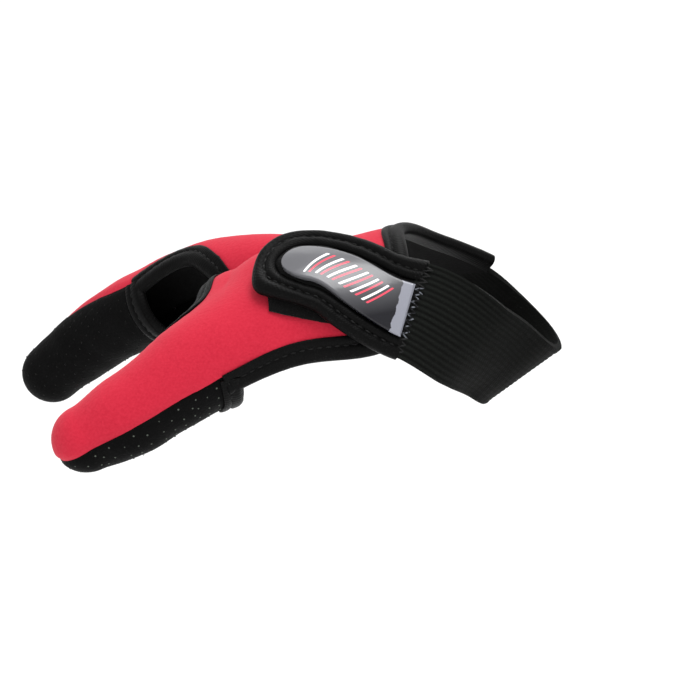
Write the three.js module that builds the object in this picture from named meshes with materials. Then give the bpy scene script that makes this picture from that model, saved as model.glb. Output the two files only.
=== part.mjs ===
// Two-finger glove in its worn form: one back panel with stalls for the thumb and the first
// finger, bound edges, a padded closure tab and a ribbed wrist elastic.
// Millimetres, +Z up, origin at the middle of the wrist elastic.
// Every piece is cut from one smooth hand form: a ray from inside the form finds the skin, and
// the cloth is laid on it at a named height.
import * as THREE from 'three';

// Hand form
const WRIST_WIDTH = 54;
const WRIST_DEPTH = 37;
const THUMB_ROOT_REACH = 13;
const THUMB_ROOT_RADIUS = 14;
const THUMB_METACARPAL = 49;
const THUMB_PROXIMAL = 34;
const THUMB_TIP = 15;
const THUMB_RADIUS = 9.3;
const INDEX_ROOT_REACH = 10;
const INDEX_METACARPAL = 59;
const INDEX_PROXIMAL = 33;
const INDEX_MIDDLE = 23;
const INDEX_TIP = 19.5;
const INDEX_RADIUS = 8.4;
const PALM_RADIUS = 10.8;
const WEB_LENGTH = 66;
const WEB_RADIUS = 14;
const KNUCKLE_SPACING = 18;
const WEB_BLEND = 10;
const KNUCKLE_BLEND = 18;
const THUMB_BLEND = 22;

// Cloth
const SKIN_EASE = 0.6;
const PANEL_WALL = 2.2;
const GRIP_WALL = 2;
const SEAM_GAP = 0.3;
const MOUTH_GAP = 0.5;
const BINDING_WIDTH = 6;
const BINDING_THICKNESS = 3.4;
const LOOP_THICKNESS = 1.2;
const TAB_WIDTH = 25.5;
const TAB_THICKNESS = 2.4;
const RIM_WIDTH = 5;
const RIM_THICKNESS = 3.5;
const BADGE_WIDTH = 11;
const BADGE_THICKNESS = 1.2;
const BADGE_DROP = 0.8;
const ELASTIC_WIDTH = 30;
const ELASTIC_THICKNESS = 2.2;
const ELASTIC_EASE = 0.8;

// Directions: heading turns from -X towards +Y, pitch rises towards +Z
const FOREARM_HEADING = 20.4;
const FOREARM_PITCH = -34.8;
const WRIST_ROLL = 42;
const KNUCKLE_FAN = 9;

// Lift of the thumb-side edge between the stall and the wrist, as a share of its aim
const RADIAL_BOW = 0.33;

// Spacing of the nets of points
const BONE_STEPS = 6;
const THUMB_COLUMNS = 9;
const WEB_COLUMNS = 5;
const INDEX_COLUMNS = 9;
const BODY_ROWS = 12;
const GRIP_COLUMNS = 14;
const THUMB_GRIP_ROWS = 9;
const INDEX_GRIP_ROWS = 11;
const TIP_ROWS = 4;
const BINDING_STEP = 3;
const EDGE_ROUNDS = 2;
const ULNAR_ROUNDS = 10;
const BODY_ROUNDS = 6;
const TAB_ROUNDS = 3;
const TAB_COLUMNS = 6;
const BADGE_COLUMNS = 4;
const LOOP_ROWS = 6;
const LOOP_COLUMNS = 6;
const ELASTIC_ROWS = 36;
const ELASTIC_COLUMNS = 6;

const RADIANS = Math.PI / 180;
const FULL_TURN = 360;
const UP = new THREE.Vector3(0, 0, 1);
const FRONT = new THREE.Vector3(0, -1, 0);

const heading = (turn, rise) => new THREE.Vector3(
  -Math.cos(rise * RADIANS) * Math.cos(turn * RADIANS),
  Math.cos(rise * RADIANS) * Math.sin(turn * RADIANS),
  Math.sin(rise * RADIANS),
);
const mix = (a, b, share) => a + (b - a) * share;
const smooth = (share) => share * share * (3 - 2 * share);

// Direction at an angle round an axis: 0 faces the front, 90 faces up
function around(axis, angle) {
  const front = FRONT.clone().addScaledVector(axis, -FRONT.dot(axis)).normalize();
  const up = UP.clone().addScaledVector(axis, -UP.dot(axis));
  up.addScaledVector(front, -up.dot(front)).normalize();
  return front.multiplyScalar(Math.cos(angle * RADIANS)).addScaledVector(up, Math.sin(angle * RADIANS));
}

// Wrist frame
const distal = heading(FOREARM_HEADING, FOREARM_PITCH);
const radial = around(distal, WRIST_ROLL);
const dorsal = around(distal, WRIST_ROLL + 90);
const atWrist = (radialShare, dorsalShare, forward) => new THREE.Vector3()
  .addScaledVector(radial, radialShare * WRIST_WIDTH)
  .addScaledVector(dorsal, dorsalShare * WRIST_DEPTH)
  .addScaledVector(distal, forward);

// A finger or bone as a round limb along joints; each joint has its radius
function limb(start, startRadius, bones, poleAngle = 0, poleTilt = 0) {
  const joints = [start];
  const radii = [startRadius];
  for (const bone of bones) {
    joints.push(joints.at(-1).clone().addScaledVector(heading(bone.turn, bone.rise), bone.length));
    radii.push(bone.radius);
  }
  const curve = new THREE.CatmullRomCurve3(joints, false, 'centripetal');
  const last = BONE_STEPS * bones.length;
  const points = [];
  for (let step = 0; step <= last; step++) {
    const t = step / last;
    const bone = Math.min(Math.floor(t * bones.length), bones.length - 1);
    const share = t * bones.length - bone;
    points.push({ place: curve.getPoint(t), radius: mix(radii[bone], radii[bone + 1], smooth(share)) });
  }
  return { joints, curve, points, poleAngle, poleTilt };
}

const thumb = limb(atWrist(0.32, -0.23, THUMB_ROOT_REACH), THUMB_ROOT_RADIUS, [
  { length: THUMB_METACARPAL, turn: -13, rise: -6, radius: 1.26 * THUMB_RADIUS },
  { length: THUMB_PROXIMAL, turn: -8, rise: -32, radius: THUMB_RADIUS },
  { length: THUMB_TIP, turn: 0, rise: -29, radius: 0.76 * THUMB_RADIUS },
], -100, 6);
const index = limb(atWrist(0.29, 0.33, INDEX_ROOT_REACH), 0.78 * PALM_RADIUS, [
  { length: INDEX_METACARPAL, turn: 32.5, rise: 0, radius: PALM_RADIUS },
  { length: INDEX_PROXIMAL, turn: 34, rise: -14, radius: 1.1 * INDEX_RADIUS },
  { length: INDEX_MIDDLE, turn: 33, rise: -25, radius: INDEX_RADIUS },
  { length: INDEX_TIP, turn: 28, rise: -33, radius: 0.85 * INDEX_RADIUS },
], 150, 12);

// The other metacarpals lie beside the index one, away from the thumb
const metacarpals = [1, 2, 3].map((place) => limb(
  index.joints[0].clone().addScaledVector(radial, -0.6 * place * KNUCKLE_SPACING),
  0.78 * PALM_RADIUS,
  [{
    length: INDEX_METACARPAL,
    turn: 32.5 + KNUCKLE_FAN * place,
    rise: -4 * place,
    radius: 0.92 * PALM_RADIUS,
  }],
));

// Flesh of the web between the thumb's bones and the index ones
const web = limb(new THREE.Vector3(), 0.9 * WEB_RADIUS, [
  { length: 0.66 * WEB_LENGTH, turn: -12, rise: 4, radius: WEB_RADIUS },
  { length: 0.34 * WEB_LENGTH, turn: 5, rise: -5, radius: 0.5 * WEB_RADIUS },
]);

// Distance from a point to a limb, with the direction away from it
function limbDistance(part, point) {
  let best = { distance: Infinity };
  for (let i = 0; i + 1 < part.points.length; i++) {
    const a = part.points[i];
    const b = part.points[i + 1];
    const bone = b.place.clone().sub(a.place);
    const offset = point.clone().sub(a.place);
    const share = THREE.MathUtils.clamp(offset.dot(bone) / bone.lengthSq(), 0, 1);
    const away = offset.addScaledVector(bone, -share);
    const length = away.length();
    const distance = length - mix(a.radius, b.radius, share);
    if (distance < best.distance) best = { distance, away: away.divideScalar(length || 1) };
  }
  return best;
}

// The forearm is a flat-sided round bar: a stadium section along the forearm's axis
function forearmDistance(point) {
  const half = (WRIST_WIDTH - WRIST_DEPTH) / 2;
  const across = point.dot(radial);
  const reach = Math.min(point.dot(distal), 0.3 * WRIST_WIDTH);
  const away = point.clone()
    .addScaledVector(radial, -THREE.MathUtils.clamp(across, -half, half))
    .addScaledVector(distal, -reach);
  const length = away.length();
  return { distance: length - WRIST_DEPTH / 2, away: away.divideScalar(length || 1) };
}

// Smooth union of two distances
function blend(a, b, width) {
  const overlap = Math.max(width - Math.abs(a.distance - b.distance), 0) / width;
  const share = a.distance < b.distance ? 1 - overlap / 2 : overlap / 2;
  return {
    distance: Math.min(a.distance, b.distance) - overlap * overlap * width / 4,
    away: a.away.clone().multiplyScalar(share).addScaledVector(b.away, 1 - share),
  };
}

function handForm(point) {
  let form = blend(limbDistance(index, point), forearmDistance(point), WEB_BLEND);
  for (const bone of metacarpals) form = blend(form, limbDistance(bone, point), KNUCKLE_BLEND);
  form = blend(form, limbDistance(web, point), WEB_BLEND);
  return blend(form, limbDistance(thumb, point), THUMB_BLEND);
}

// Skin point where a ray leaves the form
function skinAt({ anchor, aim }) {
  const point = anchor.clone();
  for (let step = 0; step < 80; step++) {
    const depth = -handForm(point).distance;
    if (Math.abs(depth) < 0.002) break;
    point.addScaledVector(aim, depth);
  }
  return { point, normal: handForm(point).away.normalize() };
}

// Nearest skin point to a point close to the skin
function settle(place) {
  const point = place.clone();
  for (let step = 0; step < 12; step++) {
    const { distance, away } = handForm(point);
    point.addScaledVector(away.normalize(), -distance);
  }
  return { point, normal: handForm(point).away.normalize() };
}

// A sheet is a net of skin points with faces; grids that share a key share the point
class Sheet {
  constructor() {
    this.points = [];
    this.faces = [];
    this.keys = new Map();
  }

  add(key, point) {
    if (!this.keys.has(key)) {
      this.keys.set(key, this.points.length);
      this.points.push(point);
    }
    return this.keys.get(key);
  }

  // A grid of rows; key(row, column) names each point
  grid(rows, key) {
    const ids = rows.map((row, i) => row.map((point, j) => this.add(key(i, j), point)));
    for (let i = 0; i + 1 < rows.length; i++) {
      for (let j = 0; j + 1 < rows[i].length; j++) {
        const face = [ids[i][j], ids[i][j + 1], ids[i + 1][j + 1], ids[i + 1][j]];
        this.faces.push(face.filter((id, place) => id !== face[(place + 1) % 4]));
      }
    }
    return this;
  }
}

const sheetOf = (rows) => new Sheet().grid(rows, (i, j) => `${i},${j}`);

// Closed solid between two heights over the skin; a height is a number or a function of the point
function thicken(sheet, low, high) {
  const height = (rule, point) => (typeof rule === 'function' ? rule(point) : rule);
  const layer = (rule) => sheet.points.map((item) => item.point.clone()
    .addScaledVector(item.normal, height(rule, item)));
  const places = [...layer(high), ...layer(low)];
  const lower = sheet.points.length;
  const triangles = [];
  const edges = new Map();
  for (const face of sheet.faces) {
    const cut = shorterDiagonal(face, places);
    for (const [a, b, c] of cut) {
      triangles.push([a, b, c], [a + lower, c + lower, b + lower]);
      for (const [from, to] of [[a, b], [b, c], [c, a]]) {
        if (edges.has(`${to},${from}`)) edges.delete(`${to},${from}`);
        else edges.set(`${from},${to}`, [from, to]);
      }
    }
  }
  for (const [from, to] of edges.values()) {
    triangles.push([to, from, from + lower], [to, from + lower, to + lower]);
  }
  return solid(places, triangles);
}

function shorterDiagonal(face, places) {
  if (face.length === 3) return [face];
  const [a, b, c, d] = face;
  const first = places[a].distanceTo(places[c]);
  const second = places[b].distanceTo(places[d]);
  return first <= second ? [[a, b, c], [a, c, d]] : [[a, b, d], [b, c, d]];
}

// Geometry from places and triangles, turned so that its faces point out
function solid(places, triangles) {
  const volume = triangles.reduce((sum, [a, b, c]) => sum
    + places[a].dot(places[b].clone().cross(places[c])), 0);
  const order = volume > 0 ? [0, 1, 2] : [0, 2, 1];
  const geometry = new THREE.BufferGeometry();
  geometry.setAttribute('position', new THREE.Float32BufferAttribute(
    places.flatMap((place) => place.toArray()), 3));
  geometry.setIndex(triangles.flatMap((triangle) => order.map((corner) => triangle[corner])));
  geometry.computeVertexNormals();
  return geometry;
}

// Rays: each has an anchor inside the form and an aim
const between = (a, b, share) => ({
  anchor: a.anchor.clone().lerp(b.anchor, share),
  aim: a.aim.clone().lerp(b.aim, share).normalize(),
});

// Station on a limb in bones: 1 is the end of the first bone, and past the last one the ray
// swings from the ring over to the pole of the tip
function limbRay(part, station, angle) {
  const bones = part.joints.length - 1;
  const t = Math.min(station / bones, 1);
  const anchor = part.curve.getPoint(t);
  const axis = part.curve.getTangent(t);
  const ring = around(axis, angle);
  if (station <= bones) return { anchor, aim: ring };
  const pole = axis.multiplyScalar(Math.cos(part.poleTilt * RADIANS))
    .addScaledVector(around(axis.clone().normalize(), part.poleAngle), Math.sin(part.poleTilt * RADIANS));
  const swing = (station - bones) * Math.PI / 2;
  return { anchor, aim: ring.multiplyScalar(Math.cos(swing)).addScaledVector(pole, Math.sin(swing)).normalize() };
}

const wristRay = (turn, forward) => ({
  anchor: distal.clone().multiplyScalar(forward),
  aim: around(distal, turn),
});

// The palm line runs from the wrist to the middle between the two metacarpals
const palmMiddle = thumb.curve.getPoint(0.8 / 3).lerp(index.curve.getPoint(0.55 / 4), 0.5);
const palmAxis = palmMiddle.clone().normalize();
const palmRay = (reach, angle) => ({
  anchor: palmMiddle.clone().multiplyScalar(reach),
  aim: around(palmAxis, angle),
});

// Value of a column of a table at a place, straight between its rows
function lookUp(table, by, place, column) {
  const last = table.length - 1;
  if (place <= table[0][by]) return table[0][column];
  for (let i = 0; i < last; i++) {
    const [a, b] = [table[i], table[i + 1]];
    if (place <= b[by]) return mix(a[column], b[column], (place - a[by]) / (b[by] - a[by]));
  }
  return table[last][column];
}

const steps = (count) => Array.from({ length: count + 1 }, (_, i) => i / count);
const spread = (from, to, count) => steps(count).map((share) => mix(from, to, share));

// Where the seams lie on each stall: the angle of the front one and of the back one
const THUMB_SEAMS = [
  { station: 1.14, front: -25, back: 86 },
  { station: 1.25, front: -25, back: 96 },
  { station: 1.4, front: -26, back: 103 },
  { station: 1.55, front: -24, back: 108 },
  { station: 2, front: -20, back: 106 },
  { station: 3, front: -22, back: 125 },
];
const INDEX_SEAMS = [
  { station: 0.85, front: 20, back: 189 },
  { station: 0.92, front: 41, back: 189 },
  { station: 1, front: 55, back: 189 },
  { station: 1.12, front: 65, back: 189 },
  { station: 1.3, front: 68, back: 189 },
  { station: 1.47, front: 64, back: 189 },
  { station: 1.65, front: 58, back: 189 },
  { station: 1.78, front: 52, back: 193 },
  { station: 1.9, front: 46, back: 197 },
  { station: 2.17, front: 50, back: 203 },
  { station: 2.67, front: 69, back: 211 },
  { station: 3.24, front: 90, back: 220 },
  { station: 4, front: 98, back: 230 },
];

// Foot of the web from the thumb to the first finger, seen from the thumb's bones
const WEB_FOOT = [
  { across: 0, station: 1.14, angle: 86 },
  { across: 0.2, station: 1.06, angle: 100 },
  { across: 0.4, station: 0.98, angle: 115 },
  { across: 0.6, station: 0.92, angle: 127 },
  { across: 0.8, station: 0.87, angle: 139 },
];
const THUMB_MOUTH = { front: 1.25, back: 1.55 };
const INDEX_MOUTH = { front: 1.9, back: 1.9 };

// The panel's edge at the wrist: how far forward of the elastic's middle it lies
const WRIST_EDGE = [
  { across: 0, turn: 14, forward: 0.17 },
  { across: 0.14, turn: 39, forward: 0.05 },
  { across: 0.23, turn: 55, forward: 0.04 },
  { across: 0.32, turn: 71, forward: 0.07 },
  { across: 0.6, turn: 115, forward: 0.02 },
  { across: 1, turn: 172, forward: -0.14 },
];

const thumbAngle = (station, share) => mix(
  lookUp(THUMB_SEAMS, 'station', station, 'front'),
  lookUp(THUMB_SEAMS, 'station', station, 'back'),
  share,
);
const indexAngle = (station, share) => mix(
  lookUp(INDEX_SEAMS, 'station', station, 'front'),
  lookUp(INDEX_SEAMS, 'station', station, 'back'),
  share,
);

// Row of rays across the hand at the foot of the web
function crotchRays() {
  const thumbRays = steps(THUMB_COLUMNS).map((share) => {
    const station = mix(THUMB_MOUTH.front, WEB_FOOT[0].station, share);
    return limbRay(thumb, station, mix(thumbAngle(THUMB_MOUTH.front, 0), WEB_FOOT[0].angle, share));
  });
  const webRays = steps(WEB_COLUMNS).slice(1, -1).map((across) => {
    const station = lookUp(WEB_FOOT, 'across', across, 'station');
    const { point, normal } = skinAt(limbRay(thumb, station, lookUp(WEB_FOOT, 'across', across, 'angle')));
    return { anchor: point.addScaledVector(normal, -0.4 * WEB_RADIUS), aim: normal };
  });
  const foot = INDEX_SEAMS[0].station;
  const indexRays = steps(INDEX_COLUMNS).map((share) => limbRay(index, foot, indexAngle(foot, share)));
  return [...thumbRays, ...webRays, ...indexRays];
}

function bodyRows() {
  const crotch = crotchRays();
  const wrist = crotch.map((_, j) => {
    const across = j / (crotch.length - 1);
    return wristRay(
      lookUp(WRIST_EDGE, 'across', across, 'turn'),
      lookUp(WRIST_EDGE, 'across', across, 'forward') * WRIST_WIDTH,
    );
  });
  return steps(BODY_ROWS).map((share) => crotch.map((ray, j) => {
    const across = j / (crotch.length - 1);
    const mixed = between(wrist[j], ray, share);
    mixed.aim.addScaledVector(UP, RADIAL_BOW * Math.sin(Math.PI * share ** 2) * (1 - across) ** 3).normalize();
    return skinAt(mixed);
  }));
}

const stations = (from, mouth, bones) => [
  ...spread(from, mouth, Math.round((mouth - from) * 10)),
  ...spread(mouth, bones, Math.round((bones - mouth) * 6)).slice(1),
  ...spread(bones, bones + 1, TIP_ROWS).slice(1),
];
const thumbStations = stations(THUMB_MOUTH.front, THUMB_MOUTH.back, thumb.joints.length - 1);
const indexStations = stations(INDEX_SEAMS[0].station, INDEX_MOUTH.front, index.joints.length - 1);

const body = bodyRows();
const crotchRow = body.at(-1);
const stallRows = (part, list, angle, columns) => list.slice(1).map((station) => steps(columns).map(
  (share) => skinAt(limbRay(part, station, angle(station, share)))));
const thumbRows = [
  crotchRow.slice(0, THUMB_COLUMNS + 1),
  ...stallRows(thumb, thumbStations, thumbAngle, THUMB_COLUMNS),
];
const indexRows = [
  crotchRow.slice(THUMB_COLUMNS + WEB_COLUMNS),
  ...stallRows(index, indexStations, indexAngle, INDEX_COLUMNS),
];

// Moves skin points to the middle of their neighbours, keeping them on the skin
function ease(curve, rounds) {
  for (let round = 0; round < rounds; round++) {
    const middles = curve.map(({ point }, i) => (i === 0 || i === curve.length - 1 ? point
      : point.clone().multiplyScalar(2).add(curve[i - 1].point).add(curve[i + 1].point).divideScalar(4)));
    curve.forEach((item, i) => Object.assign(item, settle(middles[i])));
  }
}

function relax(rows, rounds) {
  for (let round = 0; round < rounds; round++) {
    for (let i = 1; i + 1 < rows.length; i++) {
      for (let j = 1; j + 1 < rows[i].length; j++) {
        const near = [rows[i - 1][j], rows[i + 1][j], rows[i][j - 1], rows[i][j + 1]];
        const middle = near.reduce((sum, item) => sum.add(item.point), new THREE.Vector3());
        Object.assign(rows[i][j], settle(middle.divideScalar(4)));
      }
    }
  }
}

const END_TRIM = 5 * SEAM_GAP;
const SIDE_TRIM = BINDING_WIDTH + 3 * SEAM_GAP;
const column = (rows, j) => rows.map((row) => row.at(j));
const thumbMouthRow = thumbStations.indexOf(THUMB_MOUTH.back);
const indexMouthRow = indexStations.indexOf(INDEX_MOUTH.front);
const webEdge = [
  ...column(indexRows, 0).slice(0, indexMouthRow + 1).reverse(),
  ...crotchRow.slice(THUMB_COLUMNS + 1, THUMB_COLUMNS + WEB_COLUMNS).reverse(),
  ...column(thumbRows, -1).slice(0, thumbMouthRow + 1),
];
const radialEdge = column(body, 0);
const ulnarEdge = [...column(body, -1), ...column(indexRows, -1).slice(1, indexMouthRow + 1)];
const wristEdge = body[0];

for (const edge of [webEdge, radialEdge, wristEdge]) ease(edge, EDGE_ROUNDS);
ease(ulnarEdge, ULNAR_ROUNDS);
relax(body, BODY_ROUNDS);

// All points of a tip's last row are one
const closeTip = (rows) => [...rows.slice(0, -1), rows.at(-1).map(() => rows.at(-1)[0])];

function backPanel() {
  const sheet = new Sheet();
  const start = THUMB_COLUMNS + WEB_COLUMNS;
  const tip = (rows, i) => i === rows.length - 1;
  sheet.grid(body, (i, j) => (i === BODY_ROWS ? `crotch,${j}` : `body,${i},${j}`));
  sheet.grid(closeTip(thumbRows), (i, j) => (
    i === 0 ? `crotch,${j}` : `thumb,${i},${tip(thumbRows, i) ? 0 : j}`));
  sheet.grid(closeTip(indexRows), (i, j) => (
    i === 0 ? `crotch,${start + j}` : `index,${i},${tip(indexRows, i) ? 0 : j}`));
  return thicken(sheet, SKIN_EASE, SKIN_EASE + PANEL_WALL);
}

// Palm half of a stall: from the front seam round the palm side to the back seam
function gripPanel(part, mouth, angle, rowCount) {
  const bones = part.joints.length - 1;
  const rows = [...steps(rowCount), ...spread(1, 2, TIP_ROWS).slice(1)].map((run) => (
    steps(GRIP_COLUMNS).map((share) => {
      const start = mix(mouth.front, mouth.back, share);
      const station = run <= 1 ? mix(start, bones, run) : bones + run - 1;
      return skinAt(limbRay(part, station, mix(angle(station, 0), angle(station, 1) - FULL_TURN, share)));
    })));
  const pole = rows.at(-1)[0];
  const middle = rows.at(-2)[GRIP_COLUMNS / 2];
  const inset = rows.slice(0, -1).map((row) => [
    moved(row[0], row[1], SEAM_GAP),
    ...row.slice(1, -1),
    moved(row.at(-1), row.at(-2), SEAM_GAP),
  ]);
  const tip = moved(pole, middle, SEAM_GAP);
  return [...inset, rows.at(-1).map(() => tip)];
}

// Skin point moved a distance along the skin towards another
function moved(from, towards, distance) {
  const way = towards.point.clone().sub(from.point).normalize();
  return settle(from.point.clone().addScaledVector(way, distance));
}

function gripSolid(rows) {
  const last = rows.length - 1;
  const sheet = new Sheet().grid(rows, (i, j) => `${i},${i === last ? 0 : j}`);
  return thicken(sheet, SKIN_EASE, SKIN_EASE + GRIP_WALL);
}

// Even points along a curve of skin points, without its trimmed ends
function resample(curve, spacing, trimStart = 0, trimEnd = 0) {
  const runs = [0];
  for (let i = 1; i < curve.length; i++) {
    runs.push(runs[i - 1] + curve[i].point.distanceTo(curve[i - 1].point));
  }
  const length = runs.at(-1) - trimStart - trimEnd;
  const count = Math.max(2, Math.round(length / spacing));
  return steps(count).map((share) => {
    const run = trimStart + share * length;
    const i = Math.min(Math.max(runs.findIndex((value) => value >= run), 1), curve.length - 1);
    const part = (run - runs[i - 1]) / (runs[i] - runs[i - 1]);
    return settle(curve[i - 1].point.clone().lerp(curve[i].point, part));
  });
}

// Strip laid beside a curve on the skin, with rounded long edges. side is 1 or -1
const STRIP_PROFILE = [
  { across: 0, fullness: 0.6 },
  { across: 0.28, fullness: 1 },
  { across: 0.72, fullness: 1 },
  { across: 1, fullness: 0.6 },
];

function strip(curve, side, width, middle, thickness, gap = SEAM_GAP) {
  const last = curve.length - 1;
  const rows = curve.map((item, i) => {
    const along = curve[Math.min(i + 1, last)].point.clone()
      .sub(curve[Math.max(i - 1, 0)].point).normalize();
    const out = along.cross(item.normal).normalize().multiplyScalar(side);
    return STRIP_PROFILE.map(({ across, fullness }) => {
      const place = item.point.clone().addScaledVector(out, gap + across * width);
      return { ...settle(place), fullness };
    });
  });
  return thicken(
    sheetOf(rows),
    ({ fullness }) => middle - fullness * thickness / 2,
    ({ fullness }) => middle + fullness * thickness / 2,
  );
}

const bindingMiddle = SKIN_EASE + PANEL_WALL / 2;
const binding = (curve, side, gap) => (
  strip(curve, side, BINDING_WIDTH, bindingMiddle, BINDING_THICKNESS, gap));
const mouthBinding = (grip) => binding(resample(grip[0], BINDING_STEP, SIDE_TRIM, SIDE_TRIM), -1, MOUTH_GAP);

const thumbGrip = gripPanel(thumb, THUMB_MOUTH, thumbAngle, THUMB_GRIP_ROWS);
const indexGrip = gripPanel(index, INDEX_MOUTH, indexAngle, INDEX_GRIP_ROWS);

// Closure: heights over the skin of the loop pad, the tab and the badge
const loopBase = SKIN_EASE + PANEL_WALL + SEAM_GAP;
const tabBase = loopBase + LOOP_THICKNESS + SEAM_GAP;
const badgeBase = tabBase + TAB_THICKNESS + SEAM_GAP;

// The tab's centre line over the palm line: reach in shares of the palm line, angle round it
const TAB_ROUTE = [
  { reach: 1.02, angle: 13.5 },
  { reach: 0.89, angle: 17.5 },
  { reach: 0.75, angle: 15.5 },
  { reach: 0.61, angle: 7.5 },
  { reach: 0.46, angle: 1.2 },
  { reach: 0.3, angle: -3 },
];
const TAB_ROUND = 0.25;
const tabLine = new THREE.CatmullRomCurve3(
  TAB_ROUTE.map(({ reach, angle }) => skinAt(palmRay(reach, angle)).point));
const tabCentre = (along) => settle(tabLine.getPointAt(along));

// Skin point under the tab: along 0 is its round end, across runs in mm from its centre line
function tabPoint(along, across) {
  const centre = tabCentre(along);
  const ahead = tabCentre(Math.min(along + 0.1, 1)).point;
  const way = ahead.sub(tabCentre(Math.max(along - 0.1, 0)).point).normalize();
  const side = centre.normal.clone().cross(way).normalize();
  return settle(centre.point.clone().addScaledVector(side, across));
}

const tabHalf = TAB_WIDTH / 2 - RIM_WIDTH - SEAM_GAP;
const roundEnd = (along) => Math.sqrt(1 - (1 - Math.min(along / TAB_ROUND, 1)) ** 2);
const tabAlongs = [
  ...steps(5).map((share) => TAB_ROUND * (1 - Math.cos(share * Math.PI / 2))),
  ...spread(TAB_ROUND, 1, 9).slice(1),
];
const tabRows = tabAlongs.map((along) => spread(1, -1, TAB_COLUMNS).map(
  (across) => tabPoint(along, across * tabHalf * roundEnd(along))));
for (const j of tabRows[0].keys()) ease(column(tabRows, j), TAB_ROUNDS);

function tabSolid() {
  const sheet = new Sheet().grid(tabRows, (i, j) => `${i},${i === 0 ? 0 : j}`);
  return thicken(sheet, tabBase, tabBase + TAB_THICKNESS);
}

function tabRim() {
  const outline = [
    ...column(tabRows, 0).slice(1).reverse(), tabRows[0][0], ...column(tabRows, -1).slice(1),
  ];
  return strip(outline, 1, RIM_WIDTH, tabBase + RIM_THICKNESS / 2, RIM_THICKNESS);
}

// The badge's half width along the tab, from its round end to its square one
const BADGE_OUTLINE = [
  { along: 0.04, fullness: 0 },
  { along: 0.09, fullness: 0.6 },
  { along: 0.2, fullness: 0.86 },
  { along: 0.5, fullness: 1 },
  { along: 0.95, fullness: 1.1 },
];
function badgeSolid() {
  const rows = [...spread(0.04, 0.2, 3), ...spread(0.2, 0.95, 9).slice(1)].map((along) => {
    const half = lookUp(BADGE_OUTLINE, 'along', along, 'fullness') * BADGE_WIDTH / 2;
    return spread(half, -half, BADGE_COLUMNS).map((across) => tabPoint(along, across - BADGE_DROP));
  });
  for (const j of rows[0].keys()) ease(column(rows, j), TAB_ROUNDS);
  const sheet = new Sheet().grid(rows, (i, j) => `${i},${i === 0 ? 0 : j}`);
  return thicken(sheet, badgeBase, badgeBase + BADGE_THICKNESS);
}

// The loop pad's ends over the palm line: its reach, and the angles of its lower and upper edge
const LOOP_ENDS = [
  { along: 0, reach: 1.08, lower: -5, upper: 45 },
  { along: 1, reach: 0.62, lower: -11, upper: 45 },
];
function loopPatch() {
  const rows = steps(LOOP_ROWS).map((along) => {
    const value = (name) => lookUp(LOOP_ENDS, 'along', along, name);
    return spread(value('lower'), value('upper'), LOOP_COLUMNS)
      .map((angle) => skinAt(palmRay(value('reach'), angle)));
  });
  return thicken(sheetOf(rows), loopBase, loopBase + LOOP_THICKNESS);
}

// Elastic: from the tab's seam round the palm side to the panel's far edge
const ELASTIC_OUTLINE = [
  { along: 0, upperTurn: 24, upperForward: -0.31, lowerTurn: 0, lowerForward: 0.43 },
  { along: 0.1, upperTurn: 8, upperForward: -0.52, lowerTurn: -19, lowerForward: 0.35 },
  { along: 0.3, upperTurn: -38, upperForward: -0.58, lowerTurn: -48, lowerForward: 0.36 },
  { along: 0.5, upperTurn: -82, upperForward: -0.56, lowerTurn: -86, lowerForward: 0.38 },
  { along: 0.75, upperTurn: -135, upperForward: -0.5, lowerTurn: -135, lowerForward: 0.48 },
  { along: 1, upperTurn: -186, upperForward: -0.27, lowerTurn: -186, lowerForward: 0.73 },
];

// Share of the elastic's length over which each end settles to what it joins
const ELASTIC_JOIN = 0.12;
const JOIN_STEP = 2;

function elasticSolid() {
  const end = tabRows.at(-1);
  const seamRow = [moved(end[0], end[1], -RIM_WIDTH), ...end, moved(end.at(-1), end.at(-2), -RIM_WIDTH)];
  const joined = (curve) => resample(curve, JOIN_STEP).slice(0, Math.round(ELASTIC_WIDTH / JOIN_STEP) + 1);
  const [first, back, last, inner] = [
    seamRow, tabRows.at(-2), joined(ulnarEdge), joined(column(body, -2)),
  ].map((curve) => evenly(curve, ELASTIC_COLUMNS).reverse());
  const rows = steps(ELASTIC_ROWS).map((along) => steps(ELASTIC_COLUMNS).map((across, j) => {
    const value = (name) => lookUp(ELASTIC_OUTLINE, 'along', along, name);
    const turn = mix(value('lowerTurn'), value('upperTurn'), across);
    const forward = mix(value('lowerForward'), value('upperForward'), across) * ELASTIC_WIDTH;
    const laid = skinAt(wristRay(turn, forward));
    const toStart = smooth(Math.max(0, 1 - along / ELASTIC_JOIN));
    const toEnd = smooth(Math.max(0, 1 - (1 - along) / ELASTIC_JOIN));
    const place = laid.point.clone()
      .lerp(moved(first[j], back[j], -SEAM_GAP).point, toStart)
      .lerp(moved(last[j], inner[j], -SEAM_GAP).point, toEnd);
    return { ...settle(place), height: mix(ELASTIC_EASE, tabBase, toStart) };
  }));
  return thicken(
    sheetOf(rows),
    ({ height }) => height,
    ({ height }) => height + ELASTIC_THICKNESS,
  );
}

// A row of points spread evenly over a curve
function evenly(curve, count) {
  const runs = [0];
  for (let i = 1; i < curve.length; i++) {
    runs.push(runs[i - 1] + curve[i].point.distanceTo(curve[i - 1].point));
  }
  return steps(count).map((share) => {
    const run = share * runs.at(-1);
    const i = Math.min(Math.max(runs.findIndex((value) => value >= run - 1e-9), 1), curve.length - 1);
    const part = (run - runs[i - 1]) / (runs[i] - runs[i - 1]);
    return settle(curve[i - 1].point.clone().lerp(curve[i].point, part));
  });
}

// Materials
const red = { color: 0xe8304c, roughness: 0.85 };
const black = { color: 0x141416, roughness: 0.8 };
const clear = { color: 0x6d7178, roughness: 0.15 };

const glove = new THREE.Group();
function piece(name, geometry, look) {
  const mesh = new THREE.Mesh(geometry, new THREE.MeshStandardMaterial(look));
  mesh.name = name;
  glove.add(mesh);
}

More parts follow.
